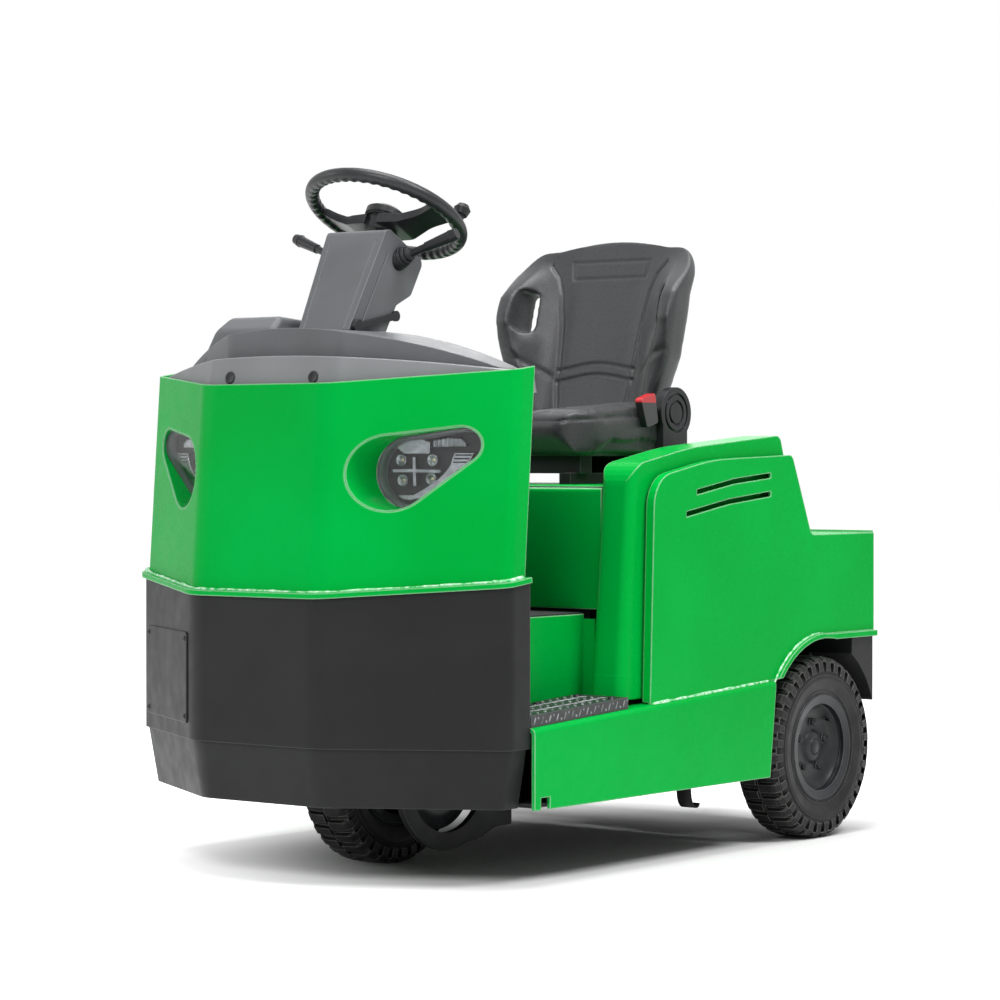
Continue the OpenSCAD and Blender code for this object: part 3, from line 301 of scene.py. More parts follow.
# rubber mat with moulded ribs 9 mm apart that run across the floor: dull, with fine lines of shade
def matFinish():
    look = {"low": "#1D1E1E", "high": "#2A2B2B", "ribMm": 9, "cloudMm": 35, "relief": 0.5, "deepMm": 1, "rough": 0.75}
    material, tree, shader, coords = newFinish("ribbedRubberMat", {"IOR": 1.5, "Roughness": look["rough"]})
    along = addNode(tree, "SeparateXYZ", {"Vector": coords}).outputs[1]
    turn = addNode(tree, "Math", {0: along, 1: 2 * math.pi * perMm(look["ribMm"])}, operation="MULTIPLY").outputs[0]
    rib = addNode(tree, "Math", {0: turn}, operation="SINE").outputs[0]
    tone = mixed(tree, noise(tree, coords, look["cloudMm"], 4.0), paintHex(look["low"]), paintHex(look["high"]))
    wire(tree, shader, {"Base Color": tone, "Normal": bumped(tree, rib, look["relief"], look["deepMm"])})
    return material


greyVinyl, buckleCoat, matRubber = vinylFinish(), buckleFinish(), matFinish()
slotFinish = {
    "green_paint": greenCoat, "black_paint": blackCoat, "black_rims": rimCoat, "grey_plastic": greyMoulding,
    "black_plastic": blackMoulding, "clear_lens": clearCover, "red_lens": redCover, "red_plastic": buckleCoat,
    "grey_vinyl": greyVinyl, "black_rubber": rubberSheet, "tyre": tyreRubber, "battery_case": batteryShell,
    "bare_steel": zincSteel,
}
nodeFinish = {"dash_fascia": paintedLitMoulding, "steps": stepCoat, "floor_mat": matRubber, "steering_wheel": rimGrip}
for part in frame["record"]["subparts"]:
    mesh = nodes[part["node"]].data
    mesh.materials.clear()
    mesh.materials.append(nodeFinish.get(part["node"], slotFinish[part["material_slot"]]))
print("finishes set:", len(bpy.data.materials))

# the photograph's camera: level, in front of the left corner, with a long lens
view = {"at": (4278, -4716, 841), "turn": 37.8, "lens": 115.2, "sensor": 36, "shift": -0.0419, "farM": 100}
cameraData = bpy.data.cameras.new("camera")
cameraData.lens = view["lens"]
cameraData.sensor_width = view["sensor"]
cameraData.shift_y = view["shift"]
cameraData.clip_end = view["farM"]
camera = placed("camera", cameraData)
camera.location = sheet(view["at"])
camera.rotation_euler = (math.pi / 2, 0, view["turn"] * degree)
scene.camera = camera


def gridFaces(rows, cols, closeRows=False, closeCols=False):  # quads of a grid of points, numbered row by row
    i = np.arange(rows if closeRows else rows - 1)[:, None]
    j = np.arange(cols if closeCols else cols - 1)[None, :]
    k, n = (i + 1) % rows, (j + 1) % cols
    return np.stack([i * cols + j, i * cols + n, k * cols + n, k * cols + j], -1).reshape(-1, 4)


def addPiece(name, shape, finish, body="chassis", smooth=True):  # a shape is points on the sheet and faces
    points, faces = shape
    mesh = bpy.data.meshes.new(name)
    mesh.from_pydata(sheet(np.asarray(points, float).reshape(-1, 3)).tolist(), [], [list(map(int, f)) for f in faces])
    work = bmesh.new()
    work.from_mesh(mesh)
    bmesh.ops.remove_doubles(work, verts=work.verts, dist=2e-5)
    bmesh.ops.dissolve_degenerate(work, edges=work.edges, dist=1e-6)
    bmesh.ops.recalc_face_normals(work, faces=work.faces)
    work.to_mesh(mesh)
    work.free()
    mesh.polygons.foreach_set("use_smooth", np.full(len(mesh.polygons), smooth))
    mesh.materials.append(finish)
    piece = placed(name, mesh)
    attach(piece, body)
    return piece


def vertexRows(mesh, what):  # a mesh's points or vertex normals as rows
    flat = np.empty(len(mesh.vertices) * 3)
    if what == "co":
        mesh.vertices.foreach_get("co", flat)
    else:
        mesh.vertex_normals.foreach_get("vector", flat)
    return flat.reshape(-1, 3)


def joined(shapes):  # several point and face arrays as one
    starts = np.cumsum([0] + [len(p) for p, f in shapes[:-1]])
    points = np.concatenate([np.asarray(p, float) for p, f in shapes])
    return points, [[v + s for v in face] for (p, f), s in zip(shapes, starts) for face in f]


def sweep(path, profile, up, scale=None, closed=False):
    # each path point carries the profile turned to the path's way: point + side * a + lift * b
    path, profile = np.asarray(path, float), np.asarray(profile, float)
    step = np.roll(path, -1, 0) - np.roll(path, 1, 0)
    if not closed:
        step[0], step[-1] = path[1] - path[0], path[-1] - path[-2]
    along = step / np.linalg.norm(step, axis=1, keepdims=True)
    side = np.cross(along, up)
    side /= np.linalg.norm(side, axis=1, keepdims=True)
    lift = np.cross(side, along)
    size = np.ones(len(path)) if scale is None else scale
    spokes = side[:, None] * profile[None, :, :1] + lift[:, None] * profile[None, :, 1:]
    rows = path[:, None] + size[:, None, None] * spokes
    return rows.reshape(-1, 3), gridFaces(len(path), len(profile), closed, True)


def revolve(profile, centre, axis, count=48, closed=False):
    # rows of radius and distance along the axis, carried once round it
    profile, axis = np.asarray(profile, float), np.asarray(axis, float)
    axis = axis / np.linalg.norm(axis)
    side = np.cross(axis, (0.3, 0.2, 0.9))
    side /= np.linalg.norm(side)
    turn = turns(count)[:, None]
    ring = np.cos(turn) * side + np.sin(turn) * np.cross(axis, side)
    rows = np.asarray(centre, float) + profile[:, :1, None] * ring + profile[:, 1:, None] * axis
    return rows.reshape(-1, 3), gridFaces(len(profile), count, closed, True)


def plate(front, back):  # a closed slab between two outlines with the same number of points
    front, back = np.asarray(front, float), np.asarray(back, float)
    n = len(front)
    around = gridFaces(2, n, False, True).tolist()
    return np.concatenate([front, back]), around + [list(range(n)), list(range(2 * n - 1, n - 1, -1))]


def roundedLine(rows, steps=8):  # open line in plan whose corners are arcs, as in the part's drawing
    rows = np.asarray(rows, float)
    parts = [rows[:1, :2]]
    for p, q, s in zip(rows[:-2], rows[1:-1], rows[2:]):
        a = (p[:2] - q[:2]) / np.linalg.norm(p[:2] - q[:2])
        b = (s[:2] - q[:2]) / np.linalg.norm(s[:2] - q[:2])
        half = math.acos(a @ b) / 2
        centre = q[:2] + (a + b) / np.linalg.norm(a + b) * q[2] / math.sin(half)
        u, v = q[:2] + a * q[2] / math.tan(half) - centre, q[:2] + b * q[2] / math.tan(half) - centre
        t = np.linspace(0, 1, steps + 1)[:, None]
        arc = (1 - t) * u + t * v
        parts.append(centre + arc / np.linalg.norm(arc, axis=1, keepdims=True) * q[2])
    parts.append(rows[-1:, :2])
    return np.concatenate(parts)


def resampled(path, step):  # the same line with points a fixed step apart
    path = np.asarray(path, float)
    run = np.concatenate([[0], np.cumsum(np.linalg.norm(np.diff(path, axis=0), axis=1))])
    at = np.linspace(0, run[-1], max(int(run[-1] / step), 4))
    return np.stack([np.interp(at, run, path[:, k]) for k in range(path.shape[1])], -1)


# the folded front seen in plan, and how far it is set in
front = {"side": 490, "face": 164, "slant": 197, "bend": 110, "edge": 34, "draw": (0.28, 0.55)}


def frontLine(inset, end):
    less, more = front["draw"]
    s, f, y = front["side"] - inset, front["face"] - inset * less, front["slant"] + inset * more
    return roundedLine([(s, end, 0), (s, y, front["edge"] - inset), (f, inset, front["bend"] - inset),
                        (-f, inset, front["bend"] - inset), (-s, y, front["edge"] - inset), (-s, end, 0)])


def hitNode(name, start, way):  # where a ray from a point on the sheet meets a solid, and which way that spot faces
    mesh = nodes[name].data
    tree = BVHTree.FromPolygons(vertexRows(mesh, "co").tolist(), [list(p.vertices) for p in mesh.polygons])
    spot, normal = tree.ray_cast(Vector(sheet(start)), Vector(way))[:2]
    return drawn(spot), np.array(normal)


# weld beads: a tube of small overlapping ripples that thins out at its ends
weld = {"radius": 3.2, "ripple": 5.0, "dip": 0.16, "step": 1.6, "every": 12, "uneven": 0.22, "taper": 8, "sides": 7}


def beadShape(path, size=1.0):
    line = resampled(path, weld["step"])
    run = np.arange(len(line)) * weld["step"]
    ripple = 1 - weld["dip"] + weld["dip"] * np.abs(np.sin(math.pi * run / weld["ripple"]))
    knots = run[::weld["every"]]
    drift = np.interp(run, knots, 1 + weld["uneven"] * dice.standard_normal(len(knots)))
    ends = np.clip(np.minimum(run, run[-1] - run) / weld["taper"], 0.004, 1)
    ring = weld["radius"] * size * circle(weld["sides"])
    return sweep(line, ring, (0.02, 0.03, 1.0), ripple * np.clip(drift, 0.5, 1.5) * ends)


# the flange's bead is heavy at both ends and light between them
flange = {"z": 566, "thick": 11.08, "tilt": 6.8, "inset": 3.0, "end": 250, "step": 2.0, "heavy": (44, 2.0),
          "light": (38, 1.15)}
plan = frontLine(flange["inset"], flange["end"])
flangeTop = np.column_stack([plan, flange["z"] + flange["thick"] + plan[:, 1] * math.tan(flange["tilt"] * degree)])
fine = resampled(flangeTop, flange["step"])
(many, heavy), (skip, light) = flange["heavy"], flange["light"]
beads = [beadShape(fine[:many], heavy), beadShape(fine[-many:], heavy), beadShape(fine[skip:-skip], light)]
addPiece("flangeWelds", joined(beads), weldCoat)
sill = {"start": 266, "top": 312, "slope": 3.1, "cover": 676, "end": 1118, "skin": 490.6, "proud": 0.4}
sillRun = np.linspace(sill["cover"], sill["end"], 60)
sillRise = sill["top"] + (sillRun - sill["start"]) * math.tan(sill["slope"] * degree) + sill["proud"]
sillTop = np.column_stack([np.full(60, sill["skin"]), sillRun, sillRise])
arch = {"y": 1337, "z": 207, "r": 246.4, "from": 152, "to": 92}
bow = np.linspace(arch["from"], arch["to"], 60) * degree
archLine = np.column_stack([np.full(60, sill["skin"]), arch["y"] + arch["r"] * np.cos(bow),
                            arch["z"] + arch["r"] * np.sin(bow)])
sideBeads = [beadShape(way(line), size) for line, size in ((sillTop, 1.2), (archLine, 1.0)) for way in (np.array, mirrored)]
addPiece("sideWelds", joined(sideBeads), weldCoat)
print("weld beads placed")

# headlamp inside, drawn flat in the plane of the lens: distance inboard of its outer end, and height
lamp = {"end": (430, 195), "turn": 14, "eggs": ((274, 812, 76), (392, 866, 38)), "ring": 96}


def lampPlace(rows):  # rows of distance along the lens, depth behind it, height
    rows = np.asarray(rows, float)
    c, s = cosSin(lamp["turn"])
    return np.stack([lamp["end"][0] + rows[..., 0] * c - rows[..., 1] * s,
                     lamp["end"][1] + rows[..., 0] * s + rows[..., 1] * c, rows[..., 2]], -1)


def eggLine(grow, depth):
    # two arcs joined by their outer tangents, seen from the front, then slid back onto a depth behind the lens
    (ax, az, ar), (bx, bz, br) = lamp["eggs"]
    ar, br = ar + grow, br + grow
    way = math.atan2(bz - az, bx - ax)
    half = math.acos((ar - br) / math.hypot(bx - ax, bz - az))
    big = np.linspace(way + half, way + 2 * math.pi - half, lamp["ring"] * 2 // 3)
    small = np.linspace(way - half, way + half, lamp["ring"] - lamp["ring"] * 2 // 3)
    x = np.concatenate([ax + ar * np.cos(big), bx + br * np.cos(small)])
    z = np.concatenate([az + ar * np.sin(big), bz + br * np.sin(small)])
    c, s = cosSin(lamp["turn"])
    return lampPlace(np.stack([(x - lamp["end"][0] + depth * s) / c, np.full_like(x, depth), z], -1))


def lampPlate(outline, near, far):  # a slab cut to an outline of length and height, between two depths
    flat = np.asarray(outline, float)
    return plate(*[lampPlace(np.column_stack([flat[:, 0], np.full(len(flat), d), flat[:, 1]])) for d in (near, far)])


def bothSides(shape):
    points, faces = shape
    return joined([(points, faces), (mirrored(points), faces)])


# rows of growth past the egg and depth, from the front lip round to the back
surround = [eggLine(g, d) for g, d in ((-3.4, 6.3), (-7, 6.6), (-10, 9), (-13, 24), (-9, 29.5), (-3.4, 29.5))]
surroundFaces = gridFaces(len(surround), lamp["ring"], True, True)
addPiece("lampSurrounds", bothSides((np.concatenate(surround), surroundFaces)), greyMoulding)
# flat mirrors as outlines of length and height: a swept blade, a cross between the cups, and a plate above
blade = [(-194, 767), (-182, 760), (-168, 758), (-145, 762), (-115, 773), (-92, 786), (-77, 799), (-65, 818), (-49, 822),
         (-38, 834), (-31, 846), (-29, 851), (-70, 851), (-75, 841), (-79, 827), (-90, 813), (-108, 797), (-135, 781),
         (-159, 768)]
arms = [(-204, 819), (-160, 819.5), (-161, 843), (-155, 843), (-154, 819), (-101, 818), (-101, 812), (-154, 813),
        (-153, 786), (-159, 786), (-160, 813), (-204, 813)]
upper = [(-199, 862), (-191, 872), (-148, 880), (-126, 872), (-127, 850), (-182, 850)]
mirrors = joined([lampPlate(arms, 13, 26), lampPlate(blade, 15, 29), lampPlate(upper, 20, 29.6)])
addPiece("lampReflectors", bothSides(mirrors), mirrorCoat, smooth=False)
# ribbed mirror: a sheet whose depth follows a row of half waves along the lens
rib = {"from": -122, "to": -46, "count": 77, "rows": 9, "foot": 863, "wave": 9.5, "depth": 24, "swell": 5, "back": 29.5,
       "top": ((-122, -86, -59, -46), (875, 882, 880, 868))}
ribU, ribV = np.meshgrid(np.linspace(rib["from"], rib["to"], rib["count"]), np.linspace(0, 1, rib["rows"]))
ribZ = rib["foot"] + ribV * (np.interp(ribU, *rib["top"]) - rib["foot"])
ribDepth = rib["depth"] - rib["swell"] * np.abs(np.sin((ribU - rib["from"]) * math.pi / rib["wave"]))
ribSkin = lampPlace(np.stack([ribU, ribDepth, ribZ], -1))
ribBack = lampPlace(np.stack([ribU, np.full_like(ribU, rib["back"]), ribZ], -1))
ribShell = np.concatenate([ribSkin.reshape(-1, 3), ribBack[::-1].reshape(-1, 3)])
ribFaces = gridFaces(2 * rib["rows"], rib["count"], True, False)
addPiece("lampRibs", bothSides((ribShell, ribFaces)), mirrorCoat)
# four cups, each with a chip: rows of radius and depth behind the lens
cupAt = [(-187, 837), (-119, 837), (-184, 797), (-122, 800)]
cupRow = [(0.05, 25), (3, 25), (4, 24), (9.5, 16), (11, 15.6), (11.5, 17), (11.5, 29.6)]
chipRow = [(0.05, 21.5), (2.2, 22), (3.2, 23.4), (3.2, 25.5)]
into = lampPlace((0, 1, 0)) - lampPlace((0, 0, 0))
cups, chips = [[revolve(row, lampPlace((u, 0, z)), into, count) for u, z in cupAt]
               for row, count in ((cupRow, 20), (chipRow, 12))]
addPiece("lampCups", bothSides(joined(cups)), mirrorCoat)
addPiece("lampChips", bothSides(joined(chips)), ledChip)
slit = {"half": 1.4, "depths": (14.2, 16), "rows": ((-68, -33, 847), (-71, -38, 840), (-73, -44, 833))}
slots = [lampPlate([(end, z + slit["half"] * up) for end, up in ((a, -1), (b, -1), (b, 1), (a, 1))], *slit["depths"])
         for a, b, z in slit["rows"]]
addPiece("lampSlots", bothSides(joined(slots)), blackMoulding, smooth=False)
print("headlamps filled")

# button-head screws: a dome with a round socket, set on the surface
screwLook = {"head": 5.6, "rise": 3.0}


def screwShape(centre, out, size=1.0, count=18):
    r, h = screwLook["head"] * size, screwLook["rise"] * size
    return revolve([(0.02, h * 0.35), (r * 0.36, h * 0.35), (r * 0.42, h), (r * 0.72, h * 0.82), (r * 0.95, h * 0.4), (r, -0.6)],
                   centre, out, count)


hatch = {"from": 38, "to": 342.9, "foot": 272, "low": 32, "high": 216, "inset": 13, "face": 3.4}
hatchTurn = math.atan2(front["slant"], front["side"] - front["face"])
hatchWay = np.array([-math.cos(hatchTurn), math.sin(hatchTurn), 0])
hatchOut = np.array([-math.sin(hatchTurn), -math.cos(hatchTurn), 0])
hatchFoot = np.array([-front["face"], 0, hatch["foot"]]) + hatchOut * hatch["face"]
hatchSpots = [hatchFoot + a * hatchWay + np.array([0, 0, h])
              for a in (hatch["from"] + hatch["inset"], hatch["to"] - hatch["inset"])
              for h in (hatch["low"] + hatch["inset"], hatch["high"] - hatch["inset"])]
addPiece("hatchScrews", joined([screwShape(p, hatchOut) for p in hatchSpots]), blackMoulding)
dashCup = {"at": ((-110, 1003), (112, 1001)), "row": ((0.02, 0.5), (6, 0.6), (8, 1.0), (10.5, 2.0), (12.5, 1.6), (13.2, -1.5))}
dashCups = [revolve(dashCup["row"], *hitNode("dash_fascia", (x, -300, z), (0, 1, 0)), 24) for x, z in dashCup["at"]]
addPiece("dashScrewCups", joined(dashCups), blackMoulding)

# chequer plate: raised lozenges on the step's top and slanted strokes with dots on its fold
chequer = {"pitch": 25, "tread": (12.5, 3.2, 1.7), "stroke": (9.5, 1.9, 1.4), "dot": (3, 3, 1.2), "top": 24, "skin": 488,
           "middle": 12, "lean": 62, "swing": 5, "across": (370, 480), "along": (24, 320), "fold": (16, 326),
           "studs": ((382, 40), (382, 165), (382, 300), (470, 300))}


def stepPlace(rows):
    return leaned(rows, (0, sill["start"], sill["top"]), sill["slope"])


lozenge = np.concatenate([np.column_stack([k * circle(10), np.full(10, h)])
                          for k, h in ((1.0, -0.15), (0.72, 0.72), (0.02, 1.0))])
lozengeFaces = gridFaces(3, 10, False, True)


def scattered(at, size, along, across, out):
    # copies of the lozenge: each point is a place plus three ways times the lozenge's coordinates and its size
    ways = [np.broadcast_to(way, at.shape) * scale for way, scale in zip((along, across, out), size)]
    points = at[:, None] + sum(lozenge[None, :, k:k + 1] * ways[k][:, None] for k in range(3))
    shift = np.arange(len(at))[:, None, None] * len(lozenge)
    return points.reshape(-1, 3), (lozengeFaces[None] + shift).reshape(-1, 4)


treadX, treadY = np.meshgrid(*[np.arange(*chequer[way], chequer["pitch"]) for way in ("across", "along")])
order = np.arange(treadX.size)
tilt = np.where((order + order // treadX.shape[1]) % 2, 45, -45) * degree
flat = np.zeros(treadX.size)
topAt = np.stack([treadX.ravel(), treadY.ravel(), flat + chequer["top"]], -1)
topMarks = scattered(topAt, chequer["tread"], np.stack([np.cos(tilt), np.sin(tilt), flat], -1),
                     np.stack([-np.sin(tilt), np.cos(tilt), flat], -1), (0, 0, 1))
foldY = np.arange(*chequer["fold"], chequer["pitch"])
skin, middle = np.full(len(foldY), chequer["skin"]), np.full(len(foldY), chequer["middle"])
strokeUp = cosSin(chequer["lean"])
strokes = scattered(np.stack([skin, foldY, middle], -1), chequer["stroke"], (0, *strokeUp),
                    (0, -strokeUp[1], strokeUp[0]), (1, 0, 0))
dotZ = middle + chequer["swing"] * np.cos(np.arange(len(foldY)) * math.pi)
dots = scattered(np.stack([skin, foldY + chequer["pitch"] / 2, dotZ], -1), chequer["dot"], (0, 1, 0), (0, 0, 1), (1, 0, 0))
marks, markFaces = joined([topMarks, strokes, dots])
addPiece("stepTread", bothSides((stepPlace(marks), markFaces)), rubbedSteel)
upStep = stepPlace((0, 0, 1)) - stepPlace((0, 0, 0))
studs = [screwShape(stepPlace((x, y, chequer["top"])), upStep, 1.6) for x, y in chequer["studs"]]
addPiece("stepStuds", bothSides(joined(studs)), blackMoulding)

# pedal pads: rubber bars across each pedal's face
pedalLook = {"at": ((-190, 70, 150), (-60, 90, 80)), "foot": (394, 521), "lean": 48, "pitch": 13, "bar": (2.4, 3.2),
             "margin": 5, "taper": 4, "from": 22, "short": 8, "proud": -14}
barRing = circle(8) * pedalLook["bar"]
bars = []
for x, wide, tall in pedalLook["at"]:
    reach = wide / 2 - pedalLook["margin"]
    barRun = np.linspace(-reach, reach, 8)
    ends = np.clip((reach - np.abs(barRun)) / pedalLook["taper"], 0.01, 1)
    for up in np.arange(pedalLook["from"], tall - pedalLook["short"], pedalLook["pitch"]):
        line = np.column_stack([barRun, np.full(8, pedalLook["proud"]), np.full(8, up)])
        bars.append(sweep(leaned(line, (x, *pedalLook["foot"]), pedalLook["lean"]), barRing, (0, 0, 1), ends))
addPiece("pedalBars", joined(bars), rubberSheet)
print("screws, tread and pedals done")

# steering wheel skin: a tube round the rim, waved for the fingers on its inner and lower side
helm = {"at": (0, 412, 1349), "lean": -27, "r": 162, "tube": 14.05, "wave": 2.3, "fingers": 46, "grip": 1.18, "steps": (460, 22),
        "cap": ((0.02, 11.5), (14, 11.2), (21, 10), (23.5, 8.6), (26, 8.6), (27.5, 10.4), (31, 10), (33.5, 8.2), (33.5, 6))}
way, tube = np.meshgrid(*[turns(count) for count in helm["steps"]], indexing="ij")
inside = np.clip(np.cos(tube - helm["grip"] * math.pi), 0, 1)
thick = helm["tube"] + helm["wave"] * inside * (0.5 + 0.5 * np.cos(helm["fingers"] * way))
far = helm["r"] + thick * np.cos(tube)
rimSkin = leaned(np.stack([far * np.cos(way), far * np.sin(way), thick * np.sin(tube)], -1), helm["at"], helm["lean"])
addPiece("steeringSkin", (rimSkin, gridFaces(*helm["steps"], True, True)), rimGrip, "helm")
helmUp = leaned((0, 0, 1), (0, 0, 0), helm["lean"])
addPiece("hubCap", revolve(helm["cap"], helm["at"], helmUp), blackMoulding, "helm")

# wheels: raised rings on both sidewalls, as rows of radius and distance from the middle
wheelLook = {"hubs": (("left_wheel", 1, 447, 1323), ("right_wheel", -1, -447, 1323), ("front_wheel", 1, 0, 395)), "z": 201,
             "rings": ((126, 50.6), (159, 55.4)), "bead": 1.5, "broad": 2.4}
lug = {"count": 36, "middle": 0.36, "half": 0.27, "arc": (-1, -0.92, 0.92, 1), "draw": (0.9, 1, 1, 0.9),
       "side": ((199.6, 30), (199.0, 42.5), (197.2, 46), (186, 54.6), (169, 55.6), (166.5, 53), (176, 40), (188, 30))}


def wheelShape(centre):
    bead = circle(6) * (wheelLook["broad"], wheelLook["bead"]) - (0, 1)
    return joined([revolve((bead + ring) * (1, way), centre, (1, 0, 0), 72, True)
                   for ring in wheelLook["rings"] for way in (1, -1)])


def lugShape(centre, way):
    # shoulder blocks: a side profile of radius and offset, swept over a short arc whose ends draw in, round both shoulders
    row = np.array(lug["side"], float)
    n, pitch = len(row), 2 * math.pi / lug["count"]
    mid = row.mean(0)
    shapes = []
    for side, start in ((way, lug["middle"]), (-way, lug["middle"] + 0.5)):
        at = (np.arange(lug["count"]) + start)[:, None, None] * pitch
        arc = np.array(lug["arc"])[None, :, None] * lug["half"] * pitch
        draw = np.array(lug["draw"])[None, :, None]
        r, out = mid[0] + (row[:, 0] - mid[0]) * draw, mid[1] + (row[:, 1] - mid[1]) * draw
        turn = at + arc + 0 * r
        r, out = r + 0 * turn, out + 0 * turn
        points = np.stack([side * out, r * np.cos(turn), r * np.sin(turn)], -1)
        faces = gridFaces(4, n, False, True).tolist() + [list(range(n)), list(range(4 * n - 1, 3 * n - 1, -1))]
        shapes += [(block.reshape(-1, 3) + np.array(centre), faces) for block in points]
    return joined(shapes)


dish = {"row": ((0.02, 29.5), (29, 29), (33, 26), (36, 22), (41, 20), (69, 20), (79, 22.5), (86, 27), (92, 33), (94.6, 36.5),
                (95.2, 34), (88, 24), (80, 19.5), (70, 17), (0.02, 17)),
        "cap": ((0.02, 8), (12, 7.4), (18, 4.5), (20, 0), (21, -6)), "capOut": 27,
        "stem": ((0.02, 12), (3, 11.5), (3.6, 9), (3.6, 2), (2.6, 1), (2.6, -8)), "stemAt": (56, 56), "stemOut": 26,
        "bolt": ((0.02, 10), (4, 10), (4.6, 8), (7.5, 8), (9.5, 6.6), (9.5, -1)), "bolts": 5, "boltR": 54, "boltOut": 20}


def dishShape(centre, way):  # pressed disc inside the rim with five bolts, a dust cap on the hub and a valve stem
    out = np.array([way, 0, 0])
    shapes = [revolve(dish["row"], centre, out, 60), revolve(dish["cap"], centre + out * dish["capOut"], out, 28),
              revolve(dish["stem"], centre + out * dish["stemOut"] + np.array([0, *dish["stemAt"]]), out, 12)]
    for k in range(dish["bolts"]):
        turn = 2 * math.pi * (k + 0.2) / dish["bolts"]
        spot = centre + out * dish["boltOut"] + dish["boltR"] * np.array([0, math.cos(turn), math.sin(turn)])
        shapes.append(revolve(dish["bolt"], spot, out, 6))
    return joined(shapes)


for body, side, x, y in wheelLook["hubs"]:
    hub = np.array([x, y, wheelLook["z"]])
    addPiece(body + "Rings", wheelShape(hub), tyreRubber, body)
    addPiece(body + "Lugs", lugShape(hub, side), tyreRubber, body, smooth=False)
    if body != "front_wheel":  # the fork hides its middle
        addPiece(body + "Dish", dishShape(hub, side), rimCoat, body)

# drive cover inside the fork's ring: a stepped disc with a domed middle
cover = {"at": (148, 395, 201), "row": ((0.02, 15), (26, 14.6), (34, 12), (40, 8), (70, 7.6), (74, 11), (98, 11.4), (103, 7),
                                        (118, 6.6), (122, 4), (122, -3), (0.02, -3))}
addPiece("driveCover", revolve(cover["row"], cover["at"], (1, 0, 0), 64), rimCoat, "steer_fork")

# tail lamps: a plated rim and three stepped rings in the lens, as rows of radius and distance from the body
tail = {"at": (410, 1560, 590), "rim": ((42.4, 0), (45, 0.4), (45.6, 6), (44.6, 10), (42.4, 10.6)),
        "lens": ((0.02, 17.5), (9, 17), (11, 14.6), (20, 14.6), (21.5, 16.6), (23, 14.4), (31, 14.4), (32.5, 16.2), (34, 14.2),
                 (38, 13.8))}
tailRim, tailLens = revolve(tail["rim"], tail["at"], (0, 1, 0), 56, True), revolve(tail["lens"], tail["at"], (0, 1, 0))
addPiece("tailRims", bothSides(tailRim), zincSteel)
addPiece("tailRings", bothSides(tailLens), redCover)

# hanging rubber strap under the left sill: a flat strip that runs down and curls at its foot
strap = {"x": 450, "half": 18, "thin": 1.6, "line": ((850, 155), (851, 140), (853, 126), (857, 115), (864, 107), (872, 104),
                                                     (880, 106), (884, 112))}
strapLine = resampled(strap["line"], 2)
strapPath = np.column_stack([np.full(len(strapLine), strap["x"]), strapLine])
strapRow = np.array([(-1, -1), (1, -1), (1, 1), (-1, 1)]) * (strap["thin"], strap["half"])
strapRows, strapFaces = sweep(strapPath, strapRow, (1, 0, 0))
strapFaces = strapFaces.tolist() + [[0, 1, 2, 3], [len(strapRows) - k for k in (1, 2, 3, 4)]]
strapPiece = addPiece("groundStrapCurl", (strapRows, strapFaces), rubberSheet)
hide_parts("ground_strap")

# instrument pod: a rounded arch in side view carried across, shrunk along a quarter circle at both ends
pod = {"low": 1046, "row": ((176, 1046, 0), (178, 1106, 18), (208, 1134, 26), (288, 1128, 14), (303, 1046, 0)),
       "left": (-306, -258), "right": (-106, -110), "round": 15, "steps": 8, "halfDeep": 64, "tall": 88}
podRow = roundedLine(pod["row"])
podTurn = np.linspace(0, math.pi / 2, pod["steps"])
podIn = pod["round"] * (1 - np.sin(podTurn))
podShift = pod["round"] * (1 - np.cos(podTurn))
podTall = (podRow[:, 1] - pod["low"]) / (podRow[:, 1].max() - pod["low"])


def podEnd(ends, way, inset, shift):  # one row of the pod: the side profile set in, at an end that leans with height
    mid = podRow[:, 0].mean()
    y = mid + (podRow[:, 0] - mid) * (1 - inset / pod["halfDeep"])
    z = pod["low"] + (podRow[:, 1] - pod["low"]) * (1 - inset / pod["tall"])
    return np.stack([ends[0] + (ends[1] - ends[0]) * podTall + way * shift, y, z], -1)


podRows = [podEnd(pod["left"], 1, i, d) for i, d in zip(podIn, podShift)]
podRows += [podEnd(pod["right"], -1, i, d) for i, d in zip(podIn[::-1], podShift[::-1])]
podFoot = [row * np.array([1, 1, 0]) + np.array([0, 0, pod["low"]]) for row in (podRows[0], podRows[-1])]
podSkin = np.concatenate([podFoot[0], *podRows, podFoot[1]])
podFaces = gridFaces(len(podRows) + 2, len(podRow))
podPiece = addPiece("podShell", (podSkin, podFaces), greyMoulding)
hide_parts("instrument_pod")

# ridge skirts: the ridge's folded edge, carried on down its lean to just above the sill
skirt = {"in": 379.7, "out": 464.3, "front": 606.0, "back": 692, "round": 22.4, "top": 396, "foot": 345, "lean": 5.03,
         "thick": 4.2, "lip": (1.0, 1.5), "at": 372}


def skirtLine(inset):
    left, right, edge = skirt["in"] + inset, skirt["out"] - inset, skirt["front"] + inset
    bend = skirt["round"] - inset
    return roundedLine([(left, skirt["back"], 0), (left, edge, bend), (right, edge, bend), (right, skirt["back"], 0)])


def skirtRow(inset, z):
    line = skirtLine(inset)
    shift = (z - skirt["at"]) * math.tan(skirt["lean"] * degree)
    return np.column_stack([line[:, 0], line[:, 1] + shift, np.full(len(line), z)])


